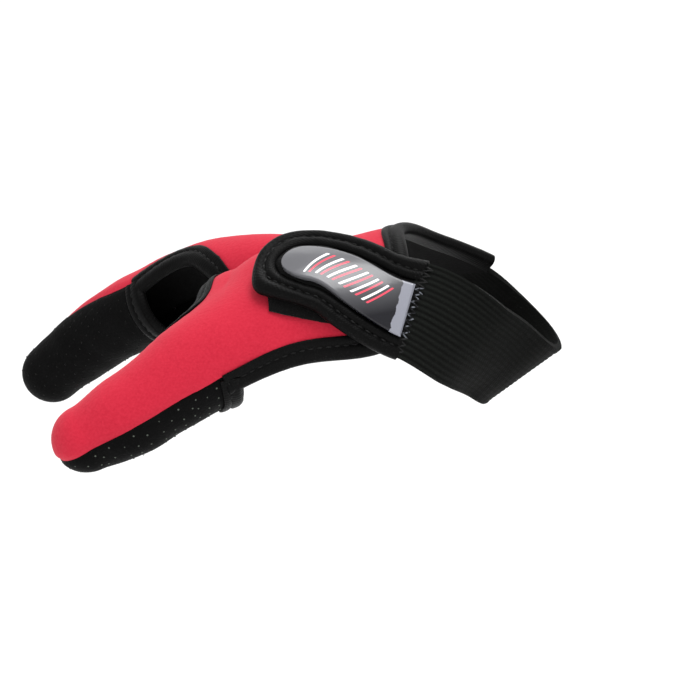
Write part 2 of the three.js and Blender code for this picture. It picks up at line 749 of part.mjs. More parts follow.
piece('back_panel', backPanel(), red);
piece('thumb_grip_panel', gripSolid(thumbGrip), black);
piece('index_grip_panel', gripSolid(indexGrip), black);
piece('web_binding', binding(resample(webEdge, BINDING_STEP, END_TRIM, END_TRIM), 1), black);
piece('thumb_mouth_binding', mouthBinding(thumbGrip), black);
piece('index_mouth_binding', mouthBinding(indexGrip), black);
piece('radial_edge_binding', binding(resample(radialEdge, BINDING_STEP, 0, 2 * SEAM_GAP), -1), black);
piece('ulnar_edge_binding', binding(
  resample(ulnarEdge, BINDING_STEP, ELASTIC_WIDTH + END_TRIM, END_TRIM), 1), black);
piece('wrist_edge_binding', binding(resample(wristEdge, BINDING_STEP), 1), black);
piece('loop_patch', loopPatch(), black);
piece('closure_tab', tabSolid(), black);
piece('tab_rim', tabRim(), black);
piece('badge', badgeSolid(), clear);
piece('wrist_elastic', elasticSolid(), black);

export default glove;
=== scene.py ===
"""Looks of a two-finger glove in its worn form.

Cloth, tape, padding and stitches are surfaces worked out with numpy over one smooth hand form, in
millimetres, and put into meshes in metres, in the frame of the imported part.
"""
import math
import bpy
import numpy as np
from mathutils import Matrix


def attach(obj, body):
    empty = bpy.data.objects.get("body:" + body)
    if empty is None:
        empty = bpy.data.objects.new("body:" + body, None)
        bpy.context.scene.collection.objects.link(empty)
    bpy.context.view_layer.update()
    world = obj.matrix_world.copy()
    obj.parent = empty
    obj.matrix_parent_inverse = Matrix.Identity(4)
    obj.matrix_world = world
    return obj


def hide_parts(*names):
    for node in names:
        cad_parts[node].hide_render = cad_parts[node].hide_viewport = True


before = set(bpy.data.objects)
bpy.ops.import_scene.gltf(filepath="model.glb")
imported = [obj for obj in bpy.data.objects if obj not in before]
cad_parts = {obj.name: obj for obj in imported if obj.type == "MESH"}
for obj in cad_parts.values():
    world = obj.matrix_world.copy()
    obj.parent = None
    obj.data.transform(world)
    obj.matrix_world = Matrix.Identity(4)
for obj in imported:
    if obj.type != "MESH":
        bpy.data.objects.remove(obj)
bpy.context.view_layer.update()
MM = 0.001

# Hand form, in millimetres
WRIST_WIDTH = 54
WRIST_DEPTH = 37
THUMB_ROOT_REACH = 13
THUMB_ROOT_RADIUS = 14
THUMB_METACARPAL = 49
THUMB_PROXIMAL = 34
THUMB_TIP = 15
THUMB_RADIUS = 9.3
INDEX_ROOT_REACH = 10
INDEX_METACARPAL = 59
INDEX_PROXIMAL = 33
INDEX_MIDDLE = 23
INDEX_TIP = 19.5
INDEX_RADIUS = 8.4
PALM_RADIUS = 10.8
WEB_LENGTH = 66
WEB_RADIUS = 14
KNUCKLE_SPACING = 18
WEB_BLEND = 10
KNUCKLE_BLEND = 18
THUMB_BLEND = 22
FOREARM_HEADING = 20.4
FOREARM_PITCH = -34.8
WRIST_ROLL = 42
KNUCKLE_FAN = 9
RADIAL_BOW = 0.33

# Cloth, in millimetres
SKIN_EASE = 0.6
PANEL_WALL = 2.2
LINING_SPACE = 0.5
LINING_WALL = 0.46
GRIP_WALL = 2
SEAM_GAP = 0.3
LOOP_THICKNESS = 1.2
TAB_WIDTH = 25.5
TAB_THICKNESS = 2.4
RIM_WIDTH = 5
BADGE_WIDTH = 11
BADGE_THICKNESS = 1.2
BADGE_DROP = 0.8
ELASTIC_WIDTH = 30
ELASTIC_THICKNESS = 2.2
ELASTIC_EASE = 0.8
RIB_PITCH = 1.7
STITCH_LENGTH = 1.7
STITCH_PITCH = 2.5
STITCH_RADIUS = 0.24
DOT_PITCH = 3.1
DOT_RADIUS = 0.28

# Shares of the tab's length, and of the elastic's length over which an end settles
BADGE_START = 0.04
BADGE_STOP = 0.98
BADGE_ROUND = 0.16
TAB_ROUND = 0.25
ELASTIC_JOIN = 0.12

# Nets of points
BONE_STEPS = 10
THUMB_COLUMNS = 9
WEB_COLUMNS = 5
INDEX_COLUMNS = 9
BODY_ROWS = 12
FINE = 4

UP = np.array([0.0, 0.0, 1.0])
FRONT = np.array([0.0, -1.0, 0.0])


def mix(a, b, share):
    """Straight from a to b."""
    return a + (b - a) * share


def smooth(share):
    """Share that starts and ends level: three times its square less twice its cube."""
    return share * share * (3 - 2 * share)


def dot(a, b):
    """Dot products along the last axis, which is kept."""
    return (a * b).sum(-1, keepdims=True)


def unit(vectors):
    """Vectors divided by their lengths."""
    return vectors / np.maximum(np.linalg.norm(vectors, axis=-1, keepdims=True), 1e-9)


def heading(turn, rise):
    """Direction that turns from -X towards +Y and rises towards +Z, in degrees."""
    turn = math.radians(turn)
    rise = math.radians(rise)
    return np.array([
        -math.cos(rise) * math.cos(turn),
        math.cos(rise) * math.sin(turn),
        math.sin(rise),
    ])


def around(axis, angle):
    """Direction square to an axis: cosine of the angle to the front plus its sine upwards."""
    angle = np.radians(np.asarray(angle, float))[..., None]
    front = unit(FRONT - dot(axis, FRONT) * axis)
    up = UP - dot(axis, UP) * axis
    up = unit(up - dot(up, front) * front)
    return front * np.cos(angle) + up * np.sin(angle)


def table(names, *rows):
    """Table with named columns, each an array down its rows."""
    return dict(zip(names.split(), np.array(rows, float).T))


def look_up(rows, by, place, column):
    """Value of a column at a place, straight between the rows of the table."""
    return np.interp(place, rows[by], rows[column])


class Curve:
    """Smooth curve through points: centripetal Catmull-Rom, with mirrored points past its ends."""

    def __init__(self, points):
        points = np.asarray(points, float)
        before = 2 * points[0] - points[1]
        after = 2 * points[-1] - points[-2]
        self.points = np.vstack([before, points, after])
        self.spans = len(points) - 1

    def at(self, share):
        """On each span a cubic whose end slopes come from the roots of the chord lengths."""
        run = np.clip(np.asarray(share, float), 0, 1) * self.spans
        span = np.minimum(run.astype(int), self.spans - 1)
        w = (run - span)[..., None]
        p0, p1, p2, p3 = (self.points[span + k] for k in range(4))
        d0, d1, d2 = (
            np.sqrt(np.linalg.norm(b - a, axis=-1, keepdims=True))
            for a, b in ((p0, p1), (p1, p2), (p2, p3))
        )
        start = ((p1 - p0) / d0 - (p2 - p0) / (d0 + d1) + (p2 - p1) / d1) * d1
        end = ((p2 - p1) / d1 - (p3 - p1) / (d1 + d2) + (p3 - p2) / d2) * d1
        square = 3 * (p2 - p1) - 2 * start - end
        cube = 2 * (p1 - p2) + start + end
        return p1 + w * (start + w * (square + w * cube))

    def along(self, share, step=1e-4):
        """Direction of the curve, from two points a small step apart."""
        share = np.asarray(share, float)
        return unit(self.at(share + step) - self.at(share - step))

    def even(self, share):
        """Point at a share of the curve's length."""
        grid = np.linspace(0, 1, 801)
        steps = np.linalg.norm(np.diff(self.at(grid), axis=0), axis=1)
        runs = np.concatenate([[0], np.cumsum(steps)])
        return self.at(np.interp(np.asarray(share) * runs[-1], runs, grid))


class Limb:
    """Round limb along joints: a chain of tapered bars on a smooth curve."""

    def __init__(self, start, start_radius, bones, pole_angle=0, pole_tilt=0):
        joints = [start]
        radii = [start_radius]
        for length, turn, rise, radius in bones:
            joints.append(joints[-1] + length * heading(turn, rise))
            radii.append(radius)
        self.bones = len(bones)
        self.curve = Curve(joints)
        self.pole_angle = pole_angle
        self.pole_tilt = math.radians(pole_tilt)
        run = np.linspace(0, self.bones, BONE_STEPS * self.bones + 1)
        bone = np.minimum(run.astype(int), self.bones - 1)
        radii = np.array(radii)
        self.places = self.curve.at(run / self.bones)
        self.radii = mix(radii[bone], radii[bone + 1], smooth(run - bone))

    def distance(self, points):
        """Least over the bars of the distance to the bar's line less its radius there."""
        start = self.places[:-1]
        bar = self.places[1:] - start
        offset = points[:, None] - start
        share = np.clip((offset * bar).sum(-1) / (bar * bar).sum(-1), 0, 1)
        away = offset - share[..., None] * bar
        length = np.linalg.norm(away, axis=-1)
        distance = length - mix(self.radii[:-1], self.radii[1:], share)
        best = np.argmin(distance, axis=1)
        rows = np.arange(len(points))
        return distance[rows, best], away[rows, best] / length[rows, best][:, None]


DISTAL = heading(FOREARM_HEADING, FOREARM_PITCH)
RADIAL = around(DISTAL, WRIST_ROLL)
DORSAL = around(DISTAL, WRIST_ROLL + 90)


def at_wrist(radial_share, dorsal_share, forward):
    """Point given by shares of the wrist's width and depth and a reach along the forearm."""
    return (
        radial_share * WRIST_WIDTH * RADIAL
        + dorsal_share * WRIST_DEPTH * DORSAL
        + forward * DISTAL
    )


THUMB = Limb(at_wrist(0.32, -0.23, THUMB_ROOT_REACH), THUMB_ROOT_RADIUS, [
    (THUMB_METACARPAL, -13, -6, 1.26 * THUMB_RADIUS),
    (THUMB_PROXIMAL, -8, -32, THUMB_RADIUS),
    (THUMB_TIP, 0, -29, 0.76 * THUMB_RADIUS),
], -100, 6)
INDEX_ROOT = at_wrist(0.29, 0.33, INDEX_ROOT_REACH)
INDEX = Limb(INDEX_ROOT, 0.78 * PALM_RADIUS, [
    (INDEX_METACARPAL, 32.5, 0, PALM_RADIUS),
    (INDEX_PROXIMAL, 34, -14, 1.1 * INDEX_RADIUS),
    (INDEX_MIDDLE, 33, -25, INDEX_RADIUS),
    (INDEX_TIP, 28, -33, 0.85 * INDEX_RADIUS),
], 150, 12)
METACARPALS = [
    Limb(INDEX_ROOT - 0.6 * place * KNUCKLE_SPACING * RADIAL, 0.78 * PALM_RADIUS, [
        (INDEX_METACARPAL, 32.5 + KNUCKLE_FAN * place, -4 * place, 0.92 * PALM_RADIUS),
    ])
    for place in (1, 2, 3)
]
WEB = Limb(np.zeros(3), 0.9 * WEB_RADIUS, [
    (0.66 * WEB_LENGTH, -12, 4, WEB_RADIUS),
    (0.34 * WEB_LENGTH, 5, -5, 0.5 * WEB_RADIUS),
])


def forearm_distance(points):
    """Distance to a bar of stadium section along the forearm's axis."""
    half = (WRIST_WIDTH - WRIST_DEPTH) / 2
    across = np.clip(points @ RADIAL, -half, half)
    reach = np.minimum(points @ DISTAL, 0.3 * WRIST_WIDTH)
    away = points - across[:, None] * RADIAL - reach[:, None] * DISTAL
    length = np.linalg.norm(away, axis=1)
    return length - WRIST_DEPTH / 2, away / length[:, None]


def blend(first, second, width):
    """Smooth least of two distances: less a quarter of the width times the overlap squared."""
    (a, away_a), (b, away_b) = first, second
    overlap = np.maximum(width - np.abs(a - b), 0) / width
    share = np.where(a < b, 1 - overlap / 2, overlap / 2)[:, None]
    return np.minimum(a, b) - overlap ** 2 * width / 4, away_a * share + away_b * (1 - share)


def hand_form(points, batch=3000):
    """Distance of points to the skin, with the direction away from it, batch by batch."""
    parts = []
    for start in range(0, len(points), batch):
        some = points[start:start + batch]
        form = blend(INDEX.distance(some), forearm_distance(some), WEB_BLEND)
        for bone in METACARPALS:
            form = blend(form, bone.distance(some), KNUCKLE_BLEND)
        form = blend(form, WEB.distance(some), WEB_BLEND)
        parts.append(blend(form, THUMB.distance(some), THUMB_BLEND))
    distance, away = (np.concatenate(part) for part in zip(*parts))
    return distance, unit(away)


def skin_at(anchor, aim):
    """Skin points where rays leave the form: each step goes on by the depth left."""
    shape = anchor.shape
    point = anchor.reshape(-1, 3).copy()
    aim = aim.reshape(-1, 3)
    for _ in range(60):
        point -= aim * hand_form(point)[0][:, None]
    return point.reshape(shape)


def settle(place, rounds=4):
    """Nearest skin points: each round goes back along the way from the skin."""
    point = place.reshape(-1, 3).copy()
    for _ in range(rounds):
        distance, away = hand_form(point)
        point -= away * distance[:, None]
    return point.reshape(place.shape)


def normals_at(points):
    """Directions away from the skin."""
    return hand_form(points.reshape(-1, 3))[1].reshape(points.shape)


def limb_rays(limb, station, angle):
    """Rays from a limb at stations in bones; past the last bone they swing to the tip's pole."""
    station, angle = np.broadcast_arrays(np.asarray(station, float), np.asarray(angle, float))
    share = np.minimum(station / limb.bones, 1)
    axis = limb.curve.along(share)
    ring = around(axis, angle)
    pole = axis * math.cos(limb.pole_tilt) + around(axis, limb.pole_angle) * math.sin(limb.pole_tilt)
    swing = np.maximum(station - limb.bones, 0)[..., None] * math.pi / 2
    return limb.curve.at(share), unit(ring * np.cos(swing) + pole * np.sin(swing))


PALM_MIDDLE = (THUMB.curve.at(0.8 / 3) + INDEX.curve.at(0.55 / 4)) / 2
PALM_AXIS = unit(PALM_MIDDLE)


def palm_skin(reach, angle):
    """Skin at a reach, in shares of the palm line, and at an angle round it."""
    reach, angle = np.broadcast_arrays(np.asarray(reach, float), np.asarray(angle, float))
    return skin_at(reach[..., None] * PALM_MIDDLE, around(PALM_AXIS, angle))


# Seams of each stall: the angle of the front one and of the back one
THUMB_SEAMS = table(
    "station front back",
    (1.14, -25, 86),
    (1.25, -25, 96),
    (1.4, -26, 103),
    (1.55, -24, 108),
    (2, -20, 106),
    (3, -22, 125),
)
INDEX_SEAMS = table(
    "station front back",
    (0.85, 20, 189),
    (0.92, 41, 189),
    (1, 55, 189),
    (1.12, 65, 189),
    (1.3, 68, 189),
    (1.47, 64, 189),
    (1.65, 58, 189),
    (1.78, 52, 193),
    (1.9, 46, 197),
    (2.17, 50, 203),
    (2.67, 69, 211),
    (3.24, 90, 220),
    (4, 98, 230),
)
# Foot of the web from the thumb to the first finger, seen from the thumb's bones
WEB_FOOT = table(
    "across station angle",
    (0, 1.14, 86),
    (0.2, 1.06, 100),
    (0.4, 0.98, 115),
    (0.6, 0.92, 127),
    (0.8, 0.87, 139),
)
THUMB_MOUTH = (1.25, 1.55)
INDEX_MOUTH = (1.9, 1.9)
# The panel's edge at the wrist, with its reach in shares of the wrist's width
WRIST_EDGE = table(
    "across turn forward",
    (0, 14, 0.17),
    (0.14, 39, 0.05),
    (0.23, 55, 0.04),
    (0.32, 71, 0.07),
    (0.6, 115, 0.02),
    (1, 172, -0.14),
)


def seam_angle(seams, station, share):
    """Angle at a share of the way from the front seam to the back one."""
    front = look_up(seams, "station", station, "front")
    return mix(front, look_up(seams, "station", station, "back"), share)


def stations(first, mouth, bones):
    """Stations of a stall's rows: up to the mouth, on to the last joint and over the tip."""
    return np.concatenate([
        np.linspace(first, mouth, round((mouth - first) * 10) + 1),
        np.linspace(mouth, bones, round((bones - mouth) * 6) + 1)[1:],
        np.linspace(bones, bones + 1, 5)[1:],
    ])


def catmull(rows, places):
    """Rows at fractional places: cubics with slopes of half the step between the neighbours."""
    rows = np.concatenate([2 * rows[:1] - rows[1:2], rows, 2 * rows[-1:] - rows[-2:-1]])
    span = np.minimum(places.astype(int), len(rows) - 4)
    w = (places - span).reshape((-1,) + (1,) * (rows.ndim - 1))
    p0, p1, p2, p3 = (rows[span + k] for k in range(4))
    square = p0 - 2.5 * p1 + 2 * p2 - 0.5 * p3
    cube = 1.5 * (p1 - p2) + 0.5 * (p3 - p0)
    return p1 + w * ((p2 - p0) / 2 + w * (square + w * cube))


def fine_places(cells, seams=False):
    """Places over a net's cells, FINE in each, with closer ones beside a seam at either end."""
    places = np.linspace(0, cells, cells * FINE + 1)
    if seams:
        close = np.array([0.06, 0.13])
        places = np.sort(np.concatenate([places, close, cells - close]))
    return places


def eased(curve, rounds):
    """Curve on the skin whose points move to the middle of their neighbours."""
    for _ in range(rounds):
        middles = (2 * curve[1:-1] + curve[:-2] + curve[2:]) / 4
        curve = np.concatenate([curve[:1], settle(middles), curve[-1:]])
    return curve


def relaxed(net, rounds):
    """Net on the skin whose inner points move to the mean of their four neighbours."""
    net = net.copy()
    for _ in range(rounds):
        mean = (net[:-2, 1:-1] + net[2:, 1:-1] + net[1:-1, :-2] + net[1:-1, 2:]) / 4
        net[1:-1, 1:-1] = settle(mean)
    return net


def panel_nets():
    """Nets of the back panel: the hand's body and both stalls, which share its last row."""
    share = np.linspace(0, 1, THUMB_COLUMNS + 1)
    thumb_rays = limb_rays(
        THUMB,
        mix(THUMB_MOUTH[0], WEB_FOOT["station"][0], share),
        mix(seam_angle(THUMB_SEAMS, THUMB_MOUTH[0], 0), WEB_FOOT["angle"][0], share),
    )
    across = np.linspace(0, 1, WEB_COLUMNS + 1)[1:-1]
    foot = skin_at(*limb_rays(
        THUMB,
        look_up(WEB_FOOT, "across", across, "station"),
        look_up(WEB_FOOT, "across", across, "angle"),
    ))
    foot_aim = normals_at(foot)
    first = INDEX_SEAMS["station"][0]
    index_rays = limb_rays(INDEX, first, seam_angle(INDEX_SEAMS, first, share))
    crotch = [
        np.concatenate([thumb_rays[k], web, index_rays[k]])
        for k, web in enumerate([foot - 0.4 * WEB_RADIUS * foot_aim, foot_aim])
    ]
    across = np.linspace(0, 1, len(crotch[0]))
    wrist = [
        look_up(WRIST_EDGE, "across", across, "forward")[:, None] * WRIST_WIDTH * DISTAL,
        around(DISTAL, look_up(WRIST_EDGE, "across", across, "turn")),
    ]
    share = np.linspace(0, 1, BODY_ROWS + 1)[:, None, None]
    aim = unit(mix(wrist[1], crotch[1], share))
    bow = RADIAL_BOW * np.sin(math.pi * share ** 2) * (1 - across[:, None]) ** 3
    body = skin_at(mix(wrist[0], crotch[0], share), unit(aim + bow * UP))
    stalls = []
    for limb, seams, first, mouth in (
        (THUMB, THUMB_SEAMS, THUMB_MOUTH[0], THUMB_MOUTH[1]),
        (INDEX, INDEX_SEAMS, INDEX_SEAMS["station"][0], INDEX_MOUTH[0]),
    ):
        station = stations(first, mouth, limb.bones)[1:, None]
        share = np.linspace(0, 1, THUMB_COLUMNS + 1)
        stalls.append(skin_at(*limb_rays(limb, station, seam_angle(seams, station, share))))
    return body, *stalls


def shaped_nets():
    """The panel's nets with eased edges and a relaxed body."""
    body, thumb, index = panel_nets()
    web_start = THUMB_COLUMNS
    web_end = THUMB_COLUMNS + WEB_COLUMNS
    thumb_mouth = round((THUMB_MOUTH[1] - THUMB_MOUTH[0]) * 10)
    index_mouth = round((INDEX_MOUTH[0] - INDEX_SEAMS["station"][0]) * 10)
    web = eased(np.concatenate([
        index[index_mouth - 1::-1, 0],
        body[-1, web_start:web_end + 1][::-1],
        thumb[:thumb_mouth, -1],
    ]), 2)
    index[:index_mouth, 0] = web[index_mouth - 1::-1]
    body[-1, web_start:web_end + 1] = web[index_mouth:index_mouth + WEB_COLUMNS + 1][::-1]
    thumb[:thumb_mouth, -1] = web[index_mouth + WEB_COLUMNS + 1:]
    body[:, 0] = eased(body[:, 0], 2)
    body[0] = eased(body[0], 2)
    ulnar = eased(np.concatenate([body[:, -1], index[:index_mouth, -1]]), 10)
    body[:, -1] = ulnar[:len(body)]
    index[:index_mouth, -1] = ulnar[len(body):]
    body = relaxed(body, 6)
    return body, thumb, index, web, ulnar


BODY, THUMB_NET, INDEX_NET, WEB_EDGE, ULNAR_EDGE = shaped_nets()


def grip_net(limb, seams, mouth, columns, row_count):
    """Net of a stall's palm half, from its front seam round the palm side to its back seam."""
    share = np.linspace(0, 1, columns + 1)
    run = np.concatenate([np.linspace(0, 1, row_count + 1), np.linspace(1, 2, 5)[1:]])[:, None]
    start = mix(mouth[0], mouth[1], share)
    station = np.where(run <= 1, mix(start, limb.bones, run), limb.bones + run - 1)
    front = look_up(seams, "station", station, "front")
    back = look_up(seams, "station", station, "back") - 360
    return skin_at(*limb_rays(limb, station, mix(front, back, share)))


THUMB_GRIP = grip_net(THUMB, THUMB_SEAMS, THUMB_MOUTH, 12, 9)
INDEX_GRIP = grip_net(INDEX, INDEX_SEAMS, INDEX_MOUTH, 12, 11)


def resampled(curve, spacing, trim_start=0.0, trim_end=0.0, fine=8):
    """Even points on the skin along a smooth curve, without its trimmed ends."""
    curve = catmull(curve, np.linspace(0, len(curve) - 1, (len(curve) - 1) * fine + 1))
    runs = run_of(curve)
    count = max(2, round((runs[-1] - trim_start - trim_end) / spacing))
    wanted = np.linspace(trim_start, runs[-1] - trim_end, count + 1)
    return settle(np.stack([np.interp(wanted, runs, curve[:, k]) for k in range(3)], -1))


def run_of(curve):
    """Length run along a curve up to each of its points."""
    steps = np.linalg.norm(np.diff(curve, axis=0), axis=1)
    return np.concatenate([[0], np.cumsum(steps)])


class Builder:
    """Collects points, faces and UVs of one piece and makes its mesh."""

    def __init__(self):
        self.points = []
        self.uvs = []
        self.faces = []
        self.count = 0

    def add(self, points, uvs=None):
        """Adds points and gives their numbers, in the shape of the points' grid."""
        ids = np.arange(self.count, self.count + points[..., 0].size).reshape(points.shape[:-1])
        self.points.append(points.reshape(-1, 3))
        self.uvs.append(np.zeros((ids.size, 2)) if uvs is None else uvs.reshape(-1, 2))
        self.count += ids.size
        return ids

    def grid(self, ids, wrap=False):
        """A quad for each cell of a grid of numbers; wrap joins the last column to the first."""
        if wrap:
            ids = np.concatenate([ids, ids[:, :1]], axis=1)
        quads = np.stack([ids[:-1, :-1], ids[:-1, 1:], ids[1:, 1:], ids[1:, :-1]], -1).reshape(-1, 4)
        self.faces.append(quads)

    def shell(self, lower):
        """Closes a sheet of faces with its lower layer, whose numbers are higher by lower."""
        top = np.concatenate(self.faces)
        edges = np.stack([top, np.roll(top, -1, axis=1)], -1).reshape(-1, 2)
        edges = edges[edges[:, 0] != edges[:, 1]]
        code = edges[:, 0] * (2 * lower) + edges[:, 1]
        back = edges[:, 1] * (2 * lower) + edges[:, 0]
        a, b = edges[~np.isin(code, back)].T
        self.faces.append(top[:, ::-1] + lower)
        self.faces.append(np.stack([b, a, a + lower, b + lower], -1))

    def mesh(self, name, slot, material, node=None, crease=50):
        """Makes the piece, which rides on the root. Faces turn outwards: the sum of the volumes
        between them and the origin is positive. Quads whose corners meet become triangles."""
        points = np.concatenate(self.points) * MM
        faces = np.concatenate(self.faces)
        a, b, c, d = (points[faces[:, k]] for k in range(4))
        if (a * (np.cross(b, c) + np.cross(c, d))).sum() < 0:
            faces = faces[:, ::-1]
        short = (faces == np.roll(faces, -1, axis=1)).any(1)
        lists = faces[~short].tolist()
        narrow = [list(dict.fromkeys(face)) for face in faces[short].tolist()]
        lists += [face for face in narrow if len(face) > 2]
        mesh = bpy.data.meshes.new(name)
        mesh.from_pydata(points.tolist(), [], lists)
        uvs = np.concatenate(self.uvs)
        layer = mesh.uv_layers.new(name="surface_mm")
        corners = np.zeros(len(mesh.loops), np.int32)
        mesh.loops.foreach_get("vertex_index", corners)
        layer.data.foreach_set("uv", uvs[corners].ravel())
        mesh.materials.append(material)
        mesh.shade_smooth()
        mesh.set_sharp_from_angle(angle=math.radians(crease))
        mesh.validate()
        piece = bpy.data.objects.new(name, mesh)
        bpy.context.scene.collection.objects.link(piece)
        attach(piece, "root")
        if node:
            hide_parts(node)
        return piece


class Value:
    """A socket that takes part in sums: each operator adds its Math node."""

    def __init__(self, paint, socket):
        self.paint = paint
        self.socket = socket

    def apply(self, operation, first, second=0.0):
        """The value of a Math node."""
        made = self.paint.node("ShaderNodeMath", {"operation": operation}, {0: first, 1: second})
        return Value(self.paint, made.outputs[0])

    def __add__(self, other):
        return self.apply("ADD", self, other)

    def __radd__(self, other):
        return self.apply("ADD", other, self)

    def __sub__(self, other):
        return self.apply("SUBTRACT", self, other)

    def __rsub__(self, other):
        return self.apply("SUBTRACT", other, self)

    def __mul__(self, other):
        return self.apply("MULTIPLY", self, other)

    def __rmul__(self, other):
        return self.apply("MULTIPLY", other, self)

    def __truediv__(self, other):
        return self.apply("DIVIDE", self, other)

    def above(self, other):
        """One where the value is above the other, and nought elsewhere."""
        return self.apply("GREATER_THAN", self, other)

    def clamped(self):
        """The value held between nought and one."""
        return self.apply("MINIMUM", self.apply("MAXIMUM", self, 0.0), 1.0)

    def wave(self):
        """Sine of the value."""
        return self.apply("SINE", self)

    def part(self):
        """What the value has past its whole number."""
        return self.apply("FRACT", self)


class Paint:
    """The nodes of one material, around its main shader."""

    def __init__(self, name, **constants):
        self.material = bpy.data.materials.new(name)
        self.material.use_nodes = True
        self.tree = self.material.node_tree
        self.shader = self.tree.nodes["Principled BSDF"]
        for socket, value in constants.items():
            self.shader.inputs[socket.replace("_", " ").title()].default_value = value

    def node(self, kind, settings, inputs):
        """Adds a node: its settings first, then the values or links of its sockets."""
        made = self.tree.nodes.new(kind)
        for name, value in settings.items():
            setattr(made, name, value)
        for socket, value in inputs.items():
            if isinstance(value, Value):
                value = value.socket
            if isinstance(value, bpy.types.NodeSocket):
                self.tree.links.new(value, made.inputs[socket])
            else:
                made.inputs[socket].default_value = value
        return made

    def value(self, kind, settings, inputs, output=0):
        """A node's output as a value."""
        return Value(self, self.node(kind, settings, inputs).outputs[output])

    def places(self):
        """Object coordinates, in metres."""
        return self.node("ShaderNodeTexCoord", {}, {}).outputs["Object"]

    def surface(self):
        """The piece's own coordinates in millimetres: along it and across it."""
        uv = self.node("ShaderNodeUVMap", {"uv_map": "surface_mm"}, {}).outputs[0]
        made = self.node("ShaderNodeSeparateXYZ", {}, {0: uv})
        return [Value(self, socket) for socket in made.outputs[:2]]

    def gloss(self, level, coat_roughness=0.05):
        """Constants of the main shader that have longer names."""
        self.shader.inputs["Specular IOR Level"].default_value = level
        self.shader.inputs["Coat Roughness"].default_value = coat_roughness

    def noise(self, size, detail=2.0, stretch=None):
        """Noise with features of a size in millimetres, longer where the stretch is under one."""
        places = self.places()
        if stretch:
            made = self.node("ShaderNodeMapping", {}, {"Vector": places, "Scale": stretch})
            places = made.outputs[0]
        inputs = {"Vector": places, "Scale": 1 / (size * MM), "Detail": detail}
        return self.value("ShaderNodeTexNoise", {}, inputs)

    def blend(self, factor, first, second):
        """Colour between two colours."""
        made = self.node("ShaderNodeMix", {"data_type": "RGBA"}, {0: factor, 6: first, 7: second})
        return made.outputs[2]

    def set(self, **links):
        """Links or sets sockets of the main shader."""
        for name, value in links.items():
            socket = self.shader.inputs[name.replace("_", " ").title()]
            if isinstance(value, Value):
                value = value.socket
            if isinstance(value, bpy.types.NodeSocket):
                self.tree.links.new(value, socket)
            else:
                socket.default_value = value

    def relief(self, height, depth, strength=1.0):
        """Bump from a height whose full step is a depth in millimetres."""
        made = self.node(
            "ShaderNodeBump", {}, {"Height": height, "Distance": depth * MM, "Strength": strength})
        self.set(normal=made.outputs[0])


def colour(red, green, blue):
    """A colour with full alpha."""
    return (red, green, blue, 1.0)


def grey(level):
    """A grey with full alpha."""
    return colour(level, level, level)


def neoprene_red():
    """Red jersey on foam: soft mottling, a fine knit and a light nap."""
    paint = Paint("neoprene_red", roughness=0.8, sheen_weight=0.06, sheen_roughness=0.5)
    paint.gloss(0.1)
    mottle = paint.noise(9, 3)
    grain = paint.noise(0.7, 2)
    tone = paint.blend(mottle, colour(0.37, 0.009, 0.025), colour(0.43, 0.013, 0.032))
    lighter = (grain - 0.5) * 1.4 + 0.35
    paint.set(base_color=paint.blend(lighter.clamped(), tone, colour(0.48, 0.020, 0.042)))
    streaks = paint.noise(0.8, 2, stretch=(0.3, 1, 1))
    paint.relief(grain * 0.6 + streaks * 0.8 + mottle * 1.5, 0.12)
    return paint.material


def grip_black():
    """Black grip cloth: a close leathery grain."""
    paint = Paint("grip_black", roughness=0.6)
    paint.gloss(0.03)
    grain = paint.noise(0.8, 3)
    worn = paint.noise(12, 2)
    paint.set(base_color=paint.blend(worn, grey(0.0015), grey(0.003)))
    paint.set(roughness=0.5 + grain * 0.25)
    paint.relief(grain + worn, 0.15)
    return paint.material


def plain(name, roughness, gloss, size, detail, dark, pale, depth=0.0, sheen=0.0):
    """Material of one grain: its noise goes from dark to pale and may raise the surface."""
    paint = Paint(name, roughness=roughness, sheen_weight=sheen)
    paint.gloss(gloss)
    grain = paint.noise(size, detail)
    paint.set(base_color=paint.blend(grain, dark, pale))
    if depth:
        paint.relief(grain, depth)
    return paint.material


def tape_black():
    """Stretch tape: fine cross ribs and a light nap."""
    paint = Paint("tape_black", roughness=0.42)
    paint.gloss(0.045)
    along, across = paint.surface()
    rib = (along * (2 * math.pi / 0.8) + across * 1.2).wave()
    grain = paint.noise(0.6, 2)
    paint.set(base_color=paint.blend(grain, grey(0.0014), grey(0.003)))
    paint.relief(rib * 0.3 + grain, 0.06)
    return paint.material


def pad_black():
    """Smooth stretch cloth over foam, with a satin sheen."""
    paint = Paint("pad_black", roughness=0.4)
    paint.gloss(0.045)
    along, across = paint.surface()
    knit = (along * (2 * math.pi / 0.8)).wave() * (across * (2 * math.pi / 0.8)).wave()
    grain = paint.noise(0.7, 2)
    crease = paint.noise(6, 2)
    paint.set(base_color=paint.blend(grain, grey(0.0014), grey(0.003)))
    paint.relief(knit * 0.3 + grain * 0.6 + crease * 2, 0.1)
    return paint.material


def elastic_black():
    """Ribbed elastic, each rib a row of small slanted purls, with a painted highlight on the rib crests
    that fades away from its joint.
    """
    paint = Paint("elastic_black", roughness=0.75)
    paint.gloss(0.04)
    along, across = paint.surface()
    purl = (along * (2 * math.pi / 1.1) + across * 2.4).wave()
    grain = paint.noise(0.6, 3)
    crest = (across * (math.pi / RIB_PITCH)).wave()
    near = (1.0 - along * 0.028).clamped()
    # Painted highlight: the rib crests are paler, most near the joint, fading along the band
    share = crest * crest * near * (0.6 + grain * 0.6)
    paint.set(base_color=paint.blend(share, colour(0.0024, 0.0026, 0.0023), colour(0.0075, 0.0085, 0.0075)))
    paint.relief(purl * 0.12 + grain, 0.12)
    return paint.material


def thread_pale():
    """Pale thread of the zigzag at the plate's end."""
    paint = Paint("thread_pale", roughness=0.6)
    paint.gloss(0.1)
    speck = ((paint.noise(1.1, 1) - 0.52) * 7).clamped()
    paint.set(base_color=paint.blend(speck, colour(0.004, 0.004, 0.005), colour(0.14, 0.15, 0.17)))
    return paint.material


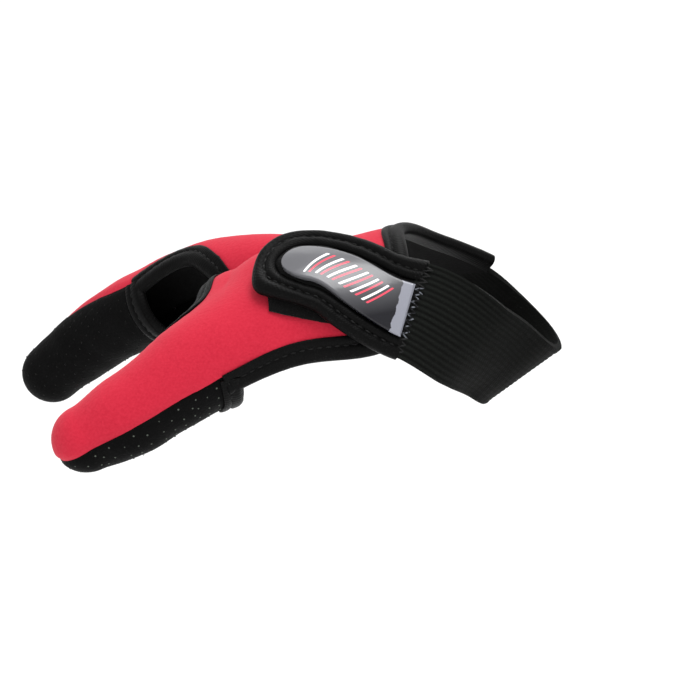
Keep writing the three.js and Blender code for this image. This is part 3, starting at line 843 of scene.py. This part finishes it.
def badge_clear(length):
    """Plate under clear plastic: grey fading to black towards one corner, printed slanted pin stripes and a
    pale end.
    """
    paint = Paint("badge_clear", roughness=0.2, coat_weight=0.15)
    paint.gloss(0.25, 0.08)
    along, across = paint.surface()
    fade = ((along - across * 1.5 - 20) * 0.06).clamped()
    ground = paint.blend(fade, colour(0.098, 0.098, 0.106), colour(0.004, 0.004, 0.007))
    slant = along - across * 0.9
    cell = (slant / 3.8).part()
    inside = slant.above(7.6) * (1 - slant.above(30.4)) * across.above(-3.4) * (1 - across.above(3.4))
    white = cell.above(0.12) * (1 - cell.above(0.32)) * inside
    red = cell.above(0.56) * (1 - cell.above(0.72)) * inside
    printed = paint.blend(white, ground, colour(0.88, 0.88, 0.9))
    printed = paint.blend(red, printed, colour(0.75, 0.06, 0.1))
    edge = paint.noise(1.2, 2) * 1.5
    printed = paint.blend((along + edge).above(length - 2.6), printed, colour(0.21, 0.215, 0.25))
    paint.set(base_color=printed)
    paint.set(roughness=0.16 + paint.noise(7, 3) * 0.1)
    paint.relief(paint.noise(5, 2), 0.1)
    return paint.material


RED = neoprene_red()
GRIP = grip_black()
THUMB_DOTS = plain(
    "dot_grey", 0.5, 0.1, 3, 2, colour(0.03, 0.036, 0.03), colour(0.11, 0.125, 0.105))
INDEX_DOTS = plain("dot_black", 0.5, 0.1, 3, 2, grey(0.002), colour(0.006, 0.006, 0.005))
TAPE = tape_black()
PAD = pad_black()
LOOP = plain("loop_black", 0.95, 0.05, 0.5, 4, grey(0.0015), grey(0.005), 0.5, 0.05)
ELASTIC = elastic_black()
THREAD = plain("thread_black", 0.5, 0.15, 0.4, 1, grey(0.003), grey(0.008))
PALE_THREAD = thread_pale()
# Lining: black like the foam core that shows at the thumb's edge, and dark also as painted shade inside the
# glove where it shows through the openings
LINING_BLACK_AND_SHADE = plain("lining_black_and_shade", 0.9, 0.05, 0.8, 3, grey(0.003), grey(0.008), 0.1)


def swell(points, amount, size):
    """Soft unevenness: a sum of three slow sine waves in turned directions, in millimetres."""
    turns = np.array([[0.8, 0.5, 0.33], [-0.4, 0.75, 0.6], [0.35, -0.6, 0.72]])
    phases = np.array([0.4, 2.1, 4.0])
    rates = 2 * math.pi / (size * np.array([1.0, 1.37, 0.81]))
    return amount * np.sin(points @ (turns.T * rates) + phases).sum(-1) / 3


def net_uv(net):
    """Lengths in millimetres along the rows and the columns of a net."""
    down = np.concatenate([[0], np.cumsum(np.linalg.norm(np.diff(net, axis=0), axis=-1).mean(1))])
    over = np.linalg.norm(np.diff(net, axis=1), axis=-1)
    over = np.concatenate([np.zeros((len(net), 1)), np.cumsum(over, axis=1)], axis=1)
    return np.stack([np.broadcast_to(down[:, None], over.shape), over], -1)


def layers(builder, nets, low, high):
    """Adds the upper layer of all nets and then the lower one, and gives the upper numbers.

    low and high are functions of a net's place in the list and its points, normals and UVs."""
    normals = [normals_at(net) for net in nets]
    uvs = [net_uv(net) for net in nets]
    ids = []
    for layer, rule in enumerate((high, low)):
        for place, (net, normal, uv) in enumerate(zip(nets, normals, uvs)):
            added = builder.add(net + rule(place, net, uv)[..., None] * normal, uv)
            if not layer:
                ids.append(added)
    return ids


def seam_dip(uv, depth, reach, first=True, last=True):
    """How far a sheet sinks beside its side seams: depth times a bell of the distance."""
    run = uv[..., 1]
    dip = np.zeros(run.shape)
    if first:
        dip = dip + np.exp(-(run / reach) ** 2)
    if last:
        dip = dip + np.exp(-((run[:, -1:] - run) / reach) ** 2)
    return depth * dip


def back_panel():
    """Red panel: fine nets of the body and of both stalls as one closed sheet."""
    columns = fine_places(THUMB_COLUMNS + WEB_COLUMNS + INDEX_COLUMNS)
    body = catmull(BODY.transpose(1, 0, 2), columns).transpose(1, 0, 2)
    thumb_end = THUMB_COLUMNS * FINE
    index_start = (THUMB_COLUMNS + WEB_COLUMNS) * FINE
    thumb = catmull(THUMB_NET.transpose(1, 0, 2), fine_places(THUMB_COLUMNS)).transpose(1, 0, 2)
    index = catmull(INDEX_NET.transpose(1, 0, 2), fine_places(INDEX_COLUMNS)).transpose(1, 0, 2)
    rows = fine_places(BODY_ROWS)
    fine_body = catmull(body, rows)
    for net, side in ((thumb, slice(0, thumb_end + 1)), (index, slice(index_start, None))):
        whole = catmull(np.concatenate([body[:, side], net]), fine_places(BODY_ROWS + len(net)))
        fine_body[:, side] = whole[:len(rows)]
        net_rows = whole[len(rows):]
        if net is thumb:
            fine_thumb = net_rows
        else:
            fine_index = net_rows
    nets = [settle(net) for net in (fine_body, fine_thumb, fine_index)]

    def outer(place, net, uv):
        height = np.full(net.shape[:2], SKIN_EASE + PANEL_WALL) + swell(net, 0.22, 17)
        if place:
            rows = smooth(np.clip(np.arange(len(net)) / 24, 0, 1))[:, None]
            height = height - seam_dip(uv, 0.7, 0.9) * rows
        return height

    def level(value):
        return lambda place, net, uv: np.full(net.shape[:2], value)

    for name, slot, material, low, high in (
        ("back_panel_red", "neoprene_red", RED, level(SKIN_EASE + LINING_SPACE), outer),
        ("back_panel_lining", "grip_black", LINING_BLACK_AND_SHADE, level(SKIN_EASE), level(SKIN_EASE + LINING_WALL)),
    ):
        builder = Builder()
        body_ids, thumb_ids, index_ids = layers(builder, nets, low, high)
        builder.grid(body_ids)
        for ids, side in ((thumb_ids, slice(0, thumb_end + 1)), (index_ids, slice(index_start, None))):
            ids = np.concatenate([body_ids[-1:, side], ids])
            ids[-1] = ids[-1, 0]
            builder.grid(ids)
        builder.shell(sum(ids.size for ids in (body_ids, thumb_ids, index_ids)))
        builder.mesh(name, slot, material, "back_panel")


def grip_panel(net, name, node):
    """Palm half of a stall as one closed sheet, a little inside its seams, with round edges."""
    columns = fine_places(net.shape[1] - 1, seams=True)
    net = catmull(net.transpose(1, 0, 2), columns).transpose(1, 0, 2)
    net = catmull(net, fine_places(len(net) - 1))
    net[-1] = net[-1, 0]
    net = settle(net)
    builder = Builder()

    def high(place, points, uv):
        height = np.full(points.shape[:2], SKIN_EASE + GRIP_WALL) + swell(points, 0.2, 11)
        return height - seam_dip(uv, 0.5, 0.8)

    def low(place, points, uv):
        return np.full(points.shape[:2], SKIN_EASE)

    ids, = layers(builder, [net], low, high)
    ids[-1] = ids[-1, 0]
    builder.grid(ids)
    builder.shell(ids.size)
    builder.mesh(name, "grip_black", GRIP, node)
    return net


def dots(net, name, skip, material):
    """Small domes over a net in staggered rows; skip is the margin at its edges in millimetres."""
    uv = net_uv(net)
    normals = normals_at(net)
    outer = net + (SKIN_EASE + GRIP_WALL - 0.05) * normals
    length = uv[-1, 0, 0]
    places = []
    for step, run in enumerate(np.arange(skip, length - skip, DOT_PITCH * 0.87)):
        row = np.interp(run, uv[:, 0, 0], np.arange(len(net)))
        i = int(round(row))
        width = uv[i, -1, 1]
        shift = skip + (step % 2) * DOT_PITCH / 2
        for across in np.arange(shift, width - skip, DOT_PITCH):
            j = int(round(np.interp(across, uv[i, :, 1], np.arange(net.shape[1]))))
            places.append((i, j))
    i, j = np.array(places).T
    centre = outer[i, j]
    normal = normals[i, j]
    side = unit(np.cross(normal, UP + 0.01 * FRONT))
    other = np.cross(normal, side)
    angle = np.linspace(0, 2 * math.pi, 8, endpoint=False)
    radius = DOT_RADIUS * np.array([1.0, 0.75, 0.0])
    height = DOT_RADIUS * np.array([-0.2, 0.42, 0.6])
    ring = side[:, None, None] * np.cos(angle)[:, None] + other[:, None, None] * np.sin(angle)[:, None]
    points = (
        centre[:, None, None]
        + ring * radius[:, None, None]
        + normal[:, None, None] * height[:, None, None]
    )
    builder = Builder()
    ids = builder.add(points)
    ids[:, 2] = ids[:, 2, :1]
    for one in ids:
        builder.grid(one[::-1], wrap=True)
    base = ids[:, 0]
    builder.faces.append(base[:, [3, 2, 1, 0]])
    builder.faces.append(base[:, [4, 3, 0, 7]])
    builder.faces.append(base[:, [5, 4, 7, 6]])
    return builder.mesh(name, "grip_black", material)


# Section of a bound edge: across from the red side and height over the skin, in millimetres
TAPE_SECTION = np.array([
    (-0.35, 2.85),
    (-0.3, 3.25),
    (0.5, 3.5),
    (1.35, 3.45),
    (1.9, 3.1),
    (2.45, 3.5),
    (3.7, 3.8),
    (4.9, 3.6),
    (5.8, 2.9),
    (6.25, 1.8),
    (5.9, 0.8),
    (4.9, 0.15),
    (3.0, 0.05),
    (0.5, 0.1),
    (0.12, 0.5),
    (0.12, 2.7),
])
STITCH_LINE = 1.9


def ring_of(section, count):
    """Closed smooth ring through the points of a section."""
    looped = np.concatenate([section[-1:], section, section[:2]])
    return catmull(looped, np.linspace(1, len(section) + 1, count, endpoint=False))


def frames(curve, side):
    """Directions along a curve on the skin, away from the skin and out across the strip."""
    normal = normals_at(curve)
    along = unit(np.gradient(curve, axis=0))
    out = side * unit(np.cross(along, normal))
    return along, normal, out


def strip_points(curve, side, across, height):
    """Points beside a curve: stepped out over the skin, settled on it and raised to a height."""
    _, _, out = frames(curve, side)
    base = settle(curve[:, None] + out[:, None] * across[..., None])
    return base + normals_at(base) * height[..., None]


def carried(points, uv):
    """Closed body from rings of points along a path, with a fan over each end."""
    builder = Builder()
    ids = builder.add(points, uv)
    builder.grid(ids, wrap=True)
    for end, row in ((0, ids[0][::-1]), (-1, ids[-1])):
        centre = np.full(len(row), builder.add(points[end].mean(0)[None])[0])
        builder.faces.append(np.stack([row, np.roll(row, -1), centre, centre], -1))
    return builder


def bound_edge(name, node, curve, side):
    """Tape folded round an edge: a closed section carried along it, rounded off at both ends."""
    ring = ring_of(TAPE_SECTION, 36)
    run = run_of(curve)
    ends = np.minimum(run, run[-1] - run)
    shrink = np.sqrt(1 - (1 - np.clip(ends / 0.9, 0, 1)) ** 2)[:, None]
    shrink = np.maximum(shrink, 0.02)
    middle = ring.mean(0)
    pucker = 0.05 * np.sin(run * 2 * math.pi / STITCH_PITCH)[:, None]
    across = middle[0] + (ring[:, 0] - middle[0]) * shrink
    height = middle[1] + (ring[:, 1] - middle[1]) * shrink
    near = np.exp(-((ring[:, 0] - STITCH_LINE) / 0.7) ** 2) * (ring[:, 1] > 2.5)
    points = strip_points(curve, side, across, height + pucker * near)
    over = np.concatenate([[0], np.cumsum(np.linalg.norm(np.diff(ring, axis=0), axis=1))])
    uv = np.stack(np.broadcast_arrays(run[:, None], over[None]), -1)
    carried(points, uv).mesh(name, "tape_black", TAPE, node)


def spindles(name, knots, normal, material):
    """Threads along rows of points: six-sided, thick in the middle, with closed ends.

    knots and normal hold, for each thread, the points of its line and the way off the cloth."""
    count = knots.shape[1]
    bulge = np.sqrt(1 - (np.linspace(-1, 1, count) * 0.94) ** 2)
    way = unit(knots[:, -1] - knots[:, 0])[:, None]
    out = unit(np.cross(way, normal))
    angle = np.linspace(0, 2 * math.pi, 6, endpoint=False)
    ring = normal[:, :, None] * np.cos(angle)[:, None] + out[:, :, None] * np.sin(angle)[:, None]
    lifted = knots + normal * (STITCH_RADIUS * (bulge - 0.6))[:, None]
    builder = Builder()
    ids = builder.add(lifted[:, :, None] + ring * (STITCH_RADIUS * bulge)[:, None, None])
    for one in ids:
        builder.grid(one, wrap=True)
    for end, order in ((0, [3, 2, 1, 0]), (0, [5, 4, 3, 0]), (-1, [0, 1, 2, 3]), (-1, [0, 3, 4, 5])):
        builder.faces.append(ids[:, end][:, order])
    return builder.mesh(name, "tape_black", material)


def threads(name, line, normal, material):
    """Row of stitches: a spindle at each pitch along a line."""
    run = run_of(line)
    middles = np.arange(STITCH_PITCH, run[-1] - STITCH_PITCH / 2, STITCH_PITCH)
    wanted = middles[:, None] + np.linspace(-0.5, 0.5, 5) * STITCH_LENGTH
    knots = np.stack([np.interp(wanted, run, line[:, k]) for k in range(3)], -1)
    normal = unit(np.stack([np.interp(wanted, run, normal[:, k]) for k in range(3)], -1))
    return spindles(name, knots, normal, material)


def edge_set(name, node, curve, side):
    """A bound edge and its row of stitches."""
    bound_edge(name, node, curve, side)
    line = strip_points(curve, side, np.array([[STITCH_LINE]]), np.array([[3.12]]))[:, 0]
    threads(name + "_stitches", line, normals_at(line), THREAD)


def closure_height():
    """Heights over the skin of the loop pad, the tab and the badge."""
    loop = SKIN_EASE + PANEL_WALL + SEAM_GAP
    tab = loop + LOOP_THICKNESS + SEAM_GAP
    return loop, tab, tab + TAB_THICKNESS + SEAM_GAP


LOOP_BASE, TAB_BASE, BADGE_BASE = closure_height()

# The tab's centre line over the palm line: reach in shares of the palm line, angle round it
TAB_ROUTE = table(
    "reach angle",
    (1.02, 13.5),
    (0.89, 17.5),
    (0.75, 15.5),
    (0.61, 7.5),
    (0.46, 1.2),
    (0.3, -3),
)
TAB_LINE = Curve(palm_skin(TAB_ROUTE["reach"], TAB_ROUTE["angle"]))
TAB_HALF = TAB_WIDTH / 2 - RIM_WIDTH - SEAM_GAP


def tab_points(along, across):
    """Skin under the tab: along 0 is its round end, across runs in millimetres from its middle."""
    along = np.asarray(along, float)
    centre = settle(TAB_LINE.even(along))
    ahead = settle(TAB_LINE.even(np.minimum(along + 0.1, 1)))
    behind = settle(TAB_LINE.even(np.maximum(along - 0.1, 0)))
    side = unit(np.cross(normals_at(centre), ahead - behind))
    return settle(centre[:, None] + side[:, None] * across[..., None], 6)


# The tab's end: how it leans for each millimetre across, and how far it draws back
END_SLANT = 0.16
END_SHIFT = 1.5


class Plate:
    """Smooth stiff sheet under the tab. Its place is a sum of powers of the run along it, up to the
    fourth, times powers of the run across it, up to the square, fitted to lifted skin points."""

    def __init__(self):
        line = TAB_LINE.even(np.linspace(0, 1, 201))
        self.length = run_of(line)[-1]
        along = np.linspace(0, 1, 15)
        across = np.broadcast_to(np.linspace(-1, 1, 9) * TAB_WIDTH / 2, (15, 9))
        skin = tab_points(along, across)
        lifted = skin + TAB_BASE * normals_at(skin)
        terms = self.terms(np.broadcast_to(along[:, None] * self.length, across.shape), across)
        self.weights = np.linalg.lstsq(terms.reshape(-1, 15), lifted.reshape(-1, 3), rcond=None)[0]

    def terms(self, run, across):
        """Products of powers, with both runs scaled to about one."""
        run = np.asarray(run, float) / self.length
        across = np.asarray(across, float) / TAB_WIDTH
        return np.stack([run ** i * across ** j for i in range(5) for j in range(3)], -1)

    def at(self, run, across, height):
        """Point at a run along and across in millimetres, raised square to the sheet.

        Towards the elastic the runs are sheared, so that the tab ends on a slant."""
        run, across, height = np.broadcast_arrays(run, across, np.asarray(height, float))
        near = smooth(np.clip(run / self.length * 2 - 1, 0, 1))
        run = run + (END_SLANT * across - END_SHIFT) * near

        def base(run, across):
            return self.terms(run, across) @ self.weights

        way = base(run + 0.1, across) - base(run - 0.1, across)
        side = base(run, across + 0.1) - base(run, across - 0.1)
        return base(run, across) + unit(np.cross(way, side)) * height[..., None]


PLATE = Plate()
BADGE = badge_clear((BADGE_STOP - BADGE_START) * PLATE.length)
TAB_END = TAB_ROUND * PLATE.length


def round_end(run):
    """Half width of the tab's round end: a quarter of an ellipse."""
    return np.sqrt(1 - (1 - np.clip(run / TAB_END, 0, 1)) ** 2)


def closure_tab():
    """Padded core of the tab: level in the middle and rounded down towards its seam."""
    run = np.concatenate([
        TAB_END * (1 - np.cos(np.linspace(0, 1, 25) * math.pi / 2)),
        np.linspace(TAB_END, PLATE.length, 61)[1:],
    ])[:, None]
    across = np.sin(np.linspace(-1, 1, 49) * math.pi / 2) * TAB_HALF * round_end(run)
    edge = np.minimum(TAB_HALF * round_end(run) - np.abs(across), run)
    band = np.sqrt(1 - (1 - np.clip(edge / 2.0, 0, 1)) ** 2)
    top = TAB_THICKNESS * (0.3 + 0.7 * band) + 0.12 * np.sin(run * 0.9 + across * 0.5)
    uv = np.stack(np.broadcast_arrays(run, across), -1)
    builder = Builder()
    ids = builder.add(PLATE.at(run, across, top), uv)
    builder.add(PLATE.at(run, across, 0), uv)
    ids[0] = ids[0, 0]
    builder.grid(ids)
    builder.shell(ids.size)
    piece = builder.mesh("closure_tab_core", "pad_black", PAD, "closure_tab")


# Section of the rim: across from the core's outline and height over the tab's base
RIM_SECTION = np.array([
    (-0.6, 1.1),
    (-0.45, 2.1),
    (0.5, 2.95),
    (1.45, 2.9),
    (1.95, 2.45),
    (2.5, 3.05),
    (3.4, 3.5),
    (4.3, 3.2),
    (5.0, 2.3),
    (5.25, 1.2),
    (4.8, 0.25),
    (2.6, 0.0),
    (0.5, 0.15),
])


def flat_outline(step=0.7):
    """Outline of the core in the tab's flat pattern: one side, the round end and the other side."""
    turn = np.linspace(math.pi / 2, -math.pi / 2, 91)
    run = np.concatenate([[PLATE.length], TAB_END * (1 - np.cos(turn)), [PLATE.length]])
    across = np.concatenate([[TAB_HALF], TAB_HALF * np.sin(turn), [-TAB_HALF]])
    curve = np.stack([run, across], -1)
    runs = run_of(curve)
    wanted = np.linspace(0, runs[-1], round(runs[-1] / step) + 1)
    curve = np.stack([np.interp(wanted, runs, curve[:, k]) for k in range(2)], -1)
    way = unit(np.gradient(curve, axis=0))
    return curve, np.stack([way[:, 1], -way[:, 0]], -1), wanted


def tab_rim():
    """Rolled rim: its section goes round the core's outline in the flat pattern, then on the tab."""
    curve, out, wanted = flat_outline()
    ring = ring_of(RIM_SECTION, 40)
    wrinkle = 0.1 * np.sin(wanted * 2 * math.pi / 4.7) + 0.06 * np.sin(wanted * 2 * math.pi / 2.9)
    groove = np.exp(-((ring[:, 0] - 1.95) / 0.7) ** 2) * (ring[:, 1] > 1.8)
    across = ring[:, 0] + SEAM_GAP
    place = curve[:, None] + out[:, None] * across[:, None]
    height = ring[:, 1] + wrinkle[:, None] * (groove + 0.4 * (ring[:, 1] > 1))
    over = np.concatenate([[0], np.cumsum(np.linalg.norm(np.diff(ring, axis=0), axis=1))])
    uv = np.stack(np.broadcast_arrays(wanted[:, None], over[None]), -1)
    points = PLATE.at(place[..., 0], place[..., 1], height)
    piece = carried(points, uv).mesh("tab_rim_rolled", "pad_black", PAD, "tab_rim")
    line = curve + out * (SEAM_GAP + 1.95)
    points = PLATE.at(line[:, 0], line[:, 1], 2.5)
    normal = unit(PLATE.at(line[:, 0], line[:, 1], 3.5) - points)
    threads("tab_rim_stitches", points, normal, THREAD)


def loop_patch():
    """Pile pad under the tab, with a soft edge."""
    along = np.linspace(0, 1, 25)[:, None]
    across = np.linspace(0, 1, 33)
    lowest = mix(-5, -11, along)
    net = palm_skin(mix(1.08, 0.62, along) + 0 * across, mix(lowest, 45, across))
    builder = Builder()

    def high(place, points, uv):
        soft = np.clip(np.minimum(uv[..., 1], uv[..., 0]) / 0.8, 0, 1)
        return LOOP_BASE + LOOP_THICKNESS * (0.55 + 0.45 * soft) + swell(points, 0.1, 5)

    def low(place, points, uv):
        return np.full(points.shape[:2], LOOP_BASE)

    ids, = layers(builder, [net], low, high)
    builder.grid(ids)
    builder.shell(ids.size)
    return builder.mesh("loop_pad", "loop_black", LOOP, "loop_patch")


# The plate's half width along the tab, as shares
BADGE_OUTLINE = table(
    "along fullness",
    (BADGE_START, 0.88),
    (0.2, 0.94),
    (0.5, 1.12),
    (BADGE_STOP, 1.2),
)


def badge():
    """Clear plate on the tab: round at one end, wider at the square one, with a soft edge."""
    along = np.concatenate([
        BADGE_START + BADGE_ROUND * (1 - np.cos(np.linspace(0, 1, 17) * math.pi / 2)),
        np.linspace(BADGE_START + BADGE_ROUND, BADGE_STOP, 61)[1:],
    ])[:, None]
    turn = np.sqrt(1 - (1 - np.clip((along - BADGE_START) / BADGE_ROUND, 0, 1)) ** 2)
    half = turn * look_up(BADGE_OUTLINE, "along", along, "fullness") * BADGE_WIDTH / 2
    across = np.sin(np.linspace(-1, 1, 41) * math.pi / 2) * half
    run = along * PLATE.length
    edge = np.minimum(half - np.abs(across), BADGE_STOP * PLATE.length - run)
    lift = np.sqrt(1 - (1 - np.clip(edge / 0.5, 0, 1)) ** 2)
    base = BADGE_BASE - TAB_BASE
    uv = np.stack(np.broadcast_arrays(run - BADGE_START * PLATE.length, across), -1)
    builder = Builder()
    ids = builder.add(PLATE.at(run, across - BADGE_DROP, base + BADGE_THICKNESS * (0.35 + 0.65 * lift)), uv)
    builder.add(PLATE.at(run, across - BADGE_DROP, base - 0.2), uv)
    ids[0] = ids[0, 0]
    builder.grid(ids)
    builder.shell(ids.size)
    builder.mesh("badge_plate", "badge_clear", BADGE, "badge", crease=40)


# Elastic: turns round the wrist and reaches in shares of its width, from the tab's seam
ELASTIC_OUTLINE = table(
    "along upper_turn upper_forward lower_turn lower_forward",
    (0, 24, -0.31, 0, 0.43),
    (0.1, 8, -0.52, -19, 0.35),
    (0.3, -38, -0.58, -48, 0.36),
    (0.5, -82, -0.56, -86, 0.38),
    (0.75, -135, -0.5, -135, 0.48),
    (1, -186, -0.27, -186, 0.73),
)


def spread_even(curve, count):
    """Points spread evenly over a curve on the skin."""
    run = run_of(curve)
    wanted = np.linspace(0, run[-1], count + 1)
    return settle(np.stack([np.interp(wanted, run, curve[:, k]) for k in range(3)], -1))


def wrist_elastic():
    """Ribbed band from under the tab's end round the palm side of the wrist to the panel's edge.

    Its ribs are a power of the sine of the way across, and it gathers a little along them."""
    count = round(ELASTIC_WIDTH / RIB_PITCH) * 6
    along = np.linspace(0, 1, 181)[:, None]
    across = np.linspace(0, 1, count + 1)
    stretch = round(ELASTIC_WIDTH / 2) + 1
    last = spread_even(resampled(ULNAR_EDGE, 2)[:stretch], count)[::-1]
    inner = spread_even(resampled(BODY[:, -2], 2)[:stretch], count)[::-1]
    last = settle(last + unit(inner - last) * 0.8)

    def value(name):
        steps = np.linspace(-0.07, 0.07, 7)
        return np.mean([look_up(ELASTIC_OUTLINE, "along", along + step, name) for step in steps], axis=0)

    turn = mix(value("lower_turn"), value("upper_turn"), across)
    forward = mix(value("lower_forward"), value("upper_forward"), across) * ELASTIC_WIDTH
    place = skin_at(forward[..., None] * DISTAL, around(DISTAL, turn))
    to_start = smooth(np.clip(1 - along / ELASTIC_JOIN, 0, 1))
    to_end = smooth(np.clip(1 - (1 - along) / ELASTIC_JOIN, 0, 1))
    place = settle(mix(place, last, to_end[..., None]))
    normals = normals_at(place)
    uv = np.stack(np.broadcast_arrays(net_uv(place)[..., 0], across * ELASTIC_WIDTH), -1)
    rib = np.abs(np.sin(across * ELASTIC_WIDTH / RIB_PITCH * math.pi)) ** 0.7
    fade = 0.45 + 0.55 * smooth(np.clip(1 - along * 4, 0, 1))
    gather = 0.03 * np.sin(uv[..., 0] * 2 * math.pi / 3.1 + across * 9)
    edge = np.minimum(across, 1 - across) * ELASTIC_WIDTH
    hem = 0.2 * np.exp(-((edge - 1.2) / 0.8) ** 2)
    thick = ELASTIC_THICKNESS - 0.3 + 0.3 * rib * fade + gather * rib + hem
    start = mix(-0.5, 0.5, across) * (TAB_WIDTH - 1)
    run = PLATE.length - 1.2 + 0.14 * PLATE.length * np.minimum(along / ELASTIC_JOIN, 1)

    def layer(rise, start_rise):
        laid = place + (ELASTIC_EASE + rise)[..., None] * normals
        return mix(laid, PLATE.at(run, start, start_rise), to_start[..., None])

    builder = Builder()
    ids = builder.add(layer(thick, 0.1 + thick), uv)
    builder.add(layer(0.1 * rib + 0 * along, 0.1 * rib), uv)
    builder.grid(ids)
    builder.shell(ids.size)
    builder.mesh("wrist_elastic_ribbed", "elastic_black", ELASTIC, "wrist_elastic")


def joint_zigzag():
    """Zigzag of threads over the joint of the tab and the elastic, with pale ones at the plate."""
    knots = np.arange(0.0, TAB_WIDTH - 3, 0.8) - (TAB_WIDTH - 3) / 2
    run = PLATE.length + np.where(np.arange(len(knots)) % 2, 1.3, -0.7)
    share = np.linspace(0, 1, 5)
    runs = mix(run[:-1, None], run[1:, None], share)
    across = mix(knots[:-1, None], knots[1:, None], share)
    points = PLATE.at(runs, across, 2.45)
    normal = unit(PLATE.at(runs, across, 3.45) - points)
    near = np.abs(across[:, 2] + BADGE_DROP) < BADGE_WIDTH * 0.6
    spindles("joint_threads", points[~near], normal[~near], THREAD)
    spindles("plate_threads", points[near], normal[near], PALE_THREAD)


def build_glove():
    """All pieces of the glove."""
    back_panel()
    thumb_fine = grip_panel(THUMB_GRIP, "thumb_grip_cloth", "thumb_grip_panel")
    index_fine = grip_panel(INDEX_GRIP, "index_grip_cloth", "index_grip_panel")
    dots(thumb_fine, "thumb_grip_dots", 1.6, THUMB_DOTS)
    dots(index_fine, "index_grip_dots", 1.6, INDEX_DOTS)
    mouth_trim = 0.1
    end_trim = 5 * SEAM_GAP
    edge_set("web_tape", "web_binding", resampled(WEB_EDGE, 0.8, end_trim, end_trim), 1)
    edge_set(
        "thumb_mouth_tape", "thumb_mouth_binding",
        resampled(THUMB_GRIP[0], 0.8, mouth_trim, mouth_trim), -1)
    edge_set(
        "index_mouth_tape", "index_mouth_binding",
        resampled(INDEX_GRIP[0], 0.8, mouth_trim, mouth_trim), -1)
    edge_set("radial_edge_tape", "radial_edge_binding", resampled(BODY[:, 0], 0.8, 0, 0.1), -1)
    edge_set(
        "ulnar_edge_tape", "ulnar_edge_binding",
        resampled(ULNAR_EDGE, 0.8, ELASTIC_WIDTH + end_trim, 0.1), 1)
    edge_set("wrist_edge_tape", "wrist_edge_binding", resampled(BODY[0], 0.8), 1)
    loop_patch()
    closure_tab()
    tab_rim()
    badge()
    wrist_elastic()
    joint_zigzag()


build_glove()

# Stage: a pale floor that curves up behind, soft lights and the camera
FLOOR_HEIGHT = -0.130
SWEEP_DISTANCE = 1.6
SWEEP_RADIUS = 1.0
CAMERA_DISTANCE = 0.7
CAMERA_X = -0.03235
CAMERA_Z = -0.01176
FOCAL_PIXELS = 2380
IMAGE_PIXELS = 700
SENSOR = 36


def backdrop():
    """Floor and wall in one sheet: flat, a quarter circle up, then straight up."""
    turn = np.linspace(0, math.pi / 2, 25)
    reach = SWEEP_DISTANCE + SWEEP_RADIUS * np.sin(turn)
    depth = np.concatenate([[-3.0], reach, reach[-1:]])
    rise = np.concatenate([[0.0], SWEEP_RADIUS * (1 - np.cos(turn)), [4.0]])
    across = np.array([-4.0, 4.0])
    points = np.stack(np.broadcast_arrays(across, depth[:, None], FLOOR_HEIGHT + rise[:, None]), -1)
    ids = np.arange(points[..., 0].size).reshape(points.shape[:-1])
    quads = np.stack([ids[:-1, :-1], ids[:-1, 1:], ids[1:, 1:], ids[1:, :-1]], -1).reshape(-1, 4)
    mesh = bpy.data.meshes.new("backdrop")
    mesh.from_pydata(points.reshape(-1, 3).tolist(), [], quads.tolist())
    mesh.shade_smooth()
    paint = Paint("backdrop_pale", roughness=0.9)
    paint.set(base_color=paint.blend(paint.noise(40, 2), grey(0.90), grey(0.92)))
    mesh.materials.append(paint.material)
    made = bpy.data.objects.new("backdrop", mesh)
    bpy.context.scene.collection.objects.link(made)


def lamp(name, place, target, size, power):
    """Square soft light that faces a target."""
    data = bpy.data.lights.new(name, "AREA")
    data.shape = "SQUARE"
    data.size = size
    data.energy = power
    made = bpy.data.objects.new(name, data)
    bpy.context.scene.collection.objects.link(made)
    made.location = place
    way = np.array(target) - np.array(place)
    made.rotation_euler = (
        math.atan2(math.hypot(way[0], way[1]), -way[2]),
        0.0,
        math.atan2(way[1], way[0]) - math.pi / 2,
    )


def studio():
    """World, lights and the camera."""
    world = bpy.data.worlds.new("studio")
    world.use_nodes = True
    ground = world.node_tree.nodes["Background"]
    ground.inputs["Color"].default_value = colour(1.0, 1.0, 1.0)
    ground.inputs["Strength"].default_value = 1.0
    bpy.context.scene.world = world
    lamp("key", (0.25, -0.7, 1.3), (-0.04, 0, 0), 0.7, 17)
    lamp("top", (0.1, 0.5, 1.6), (-0.04, 0.1, 0), 1.2, 14)
    data = bpy.data.cameras.new("photo_view")
    data.sensor_width = SENSOR
    data.lens = FOCAL_PIXELS / IMAGE_PIXELS * SENSOR
    camera = bpy.data.objects.new("photo_view", data)
    bpy.context.scene.collection.objects.link(camera)
    camera.location = (CAMERA_X, -CAMERA_DISTANCE, CAMERA_Z)
    camera.rotation_euler = (math.pi / 2, 0, 0)
    bpy.context.scene.camera = camera
    bpy.context.scene.view_settings.view_transform = "Standard"


backdrop()
studio()
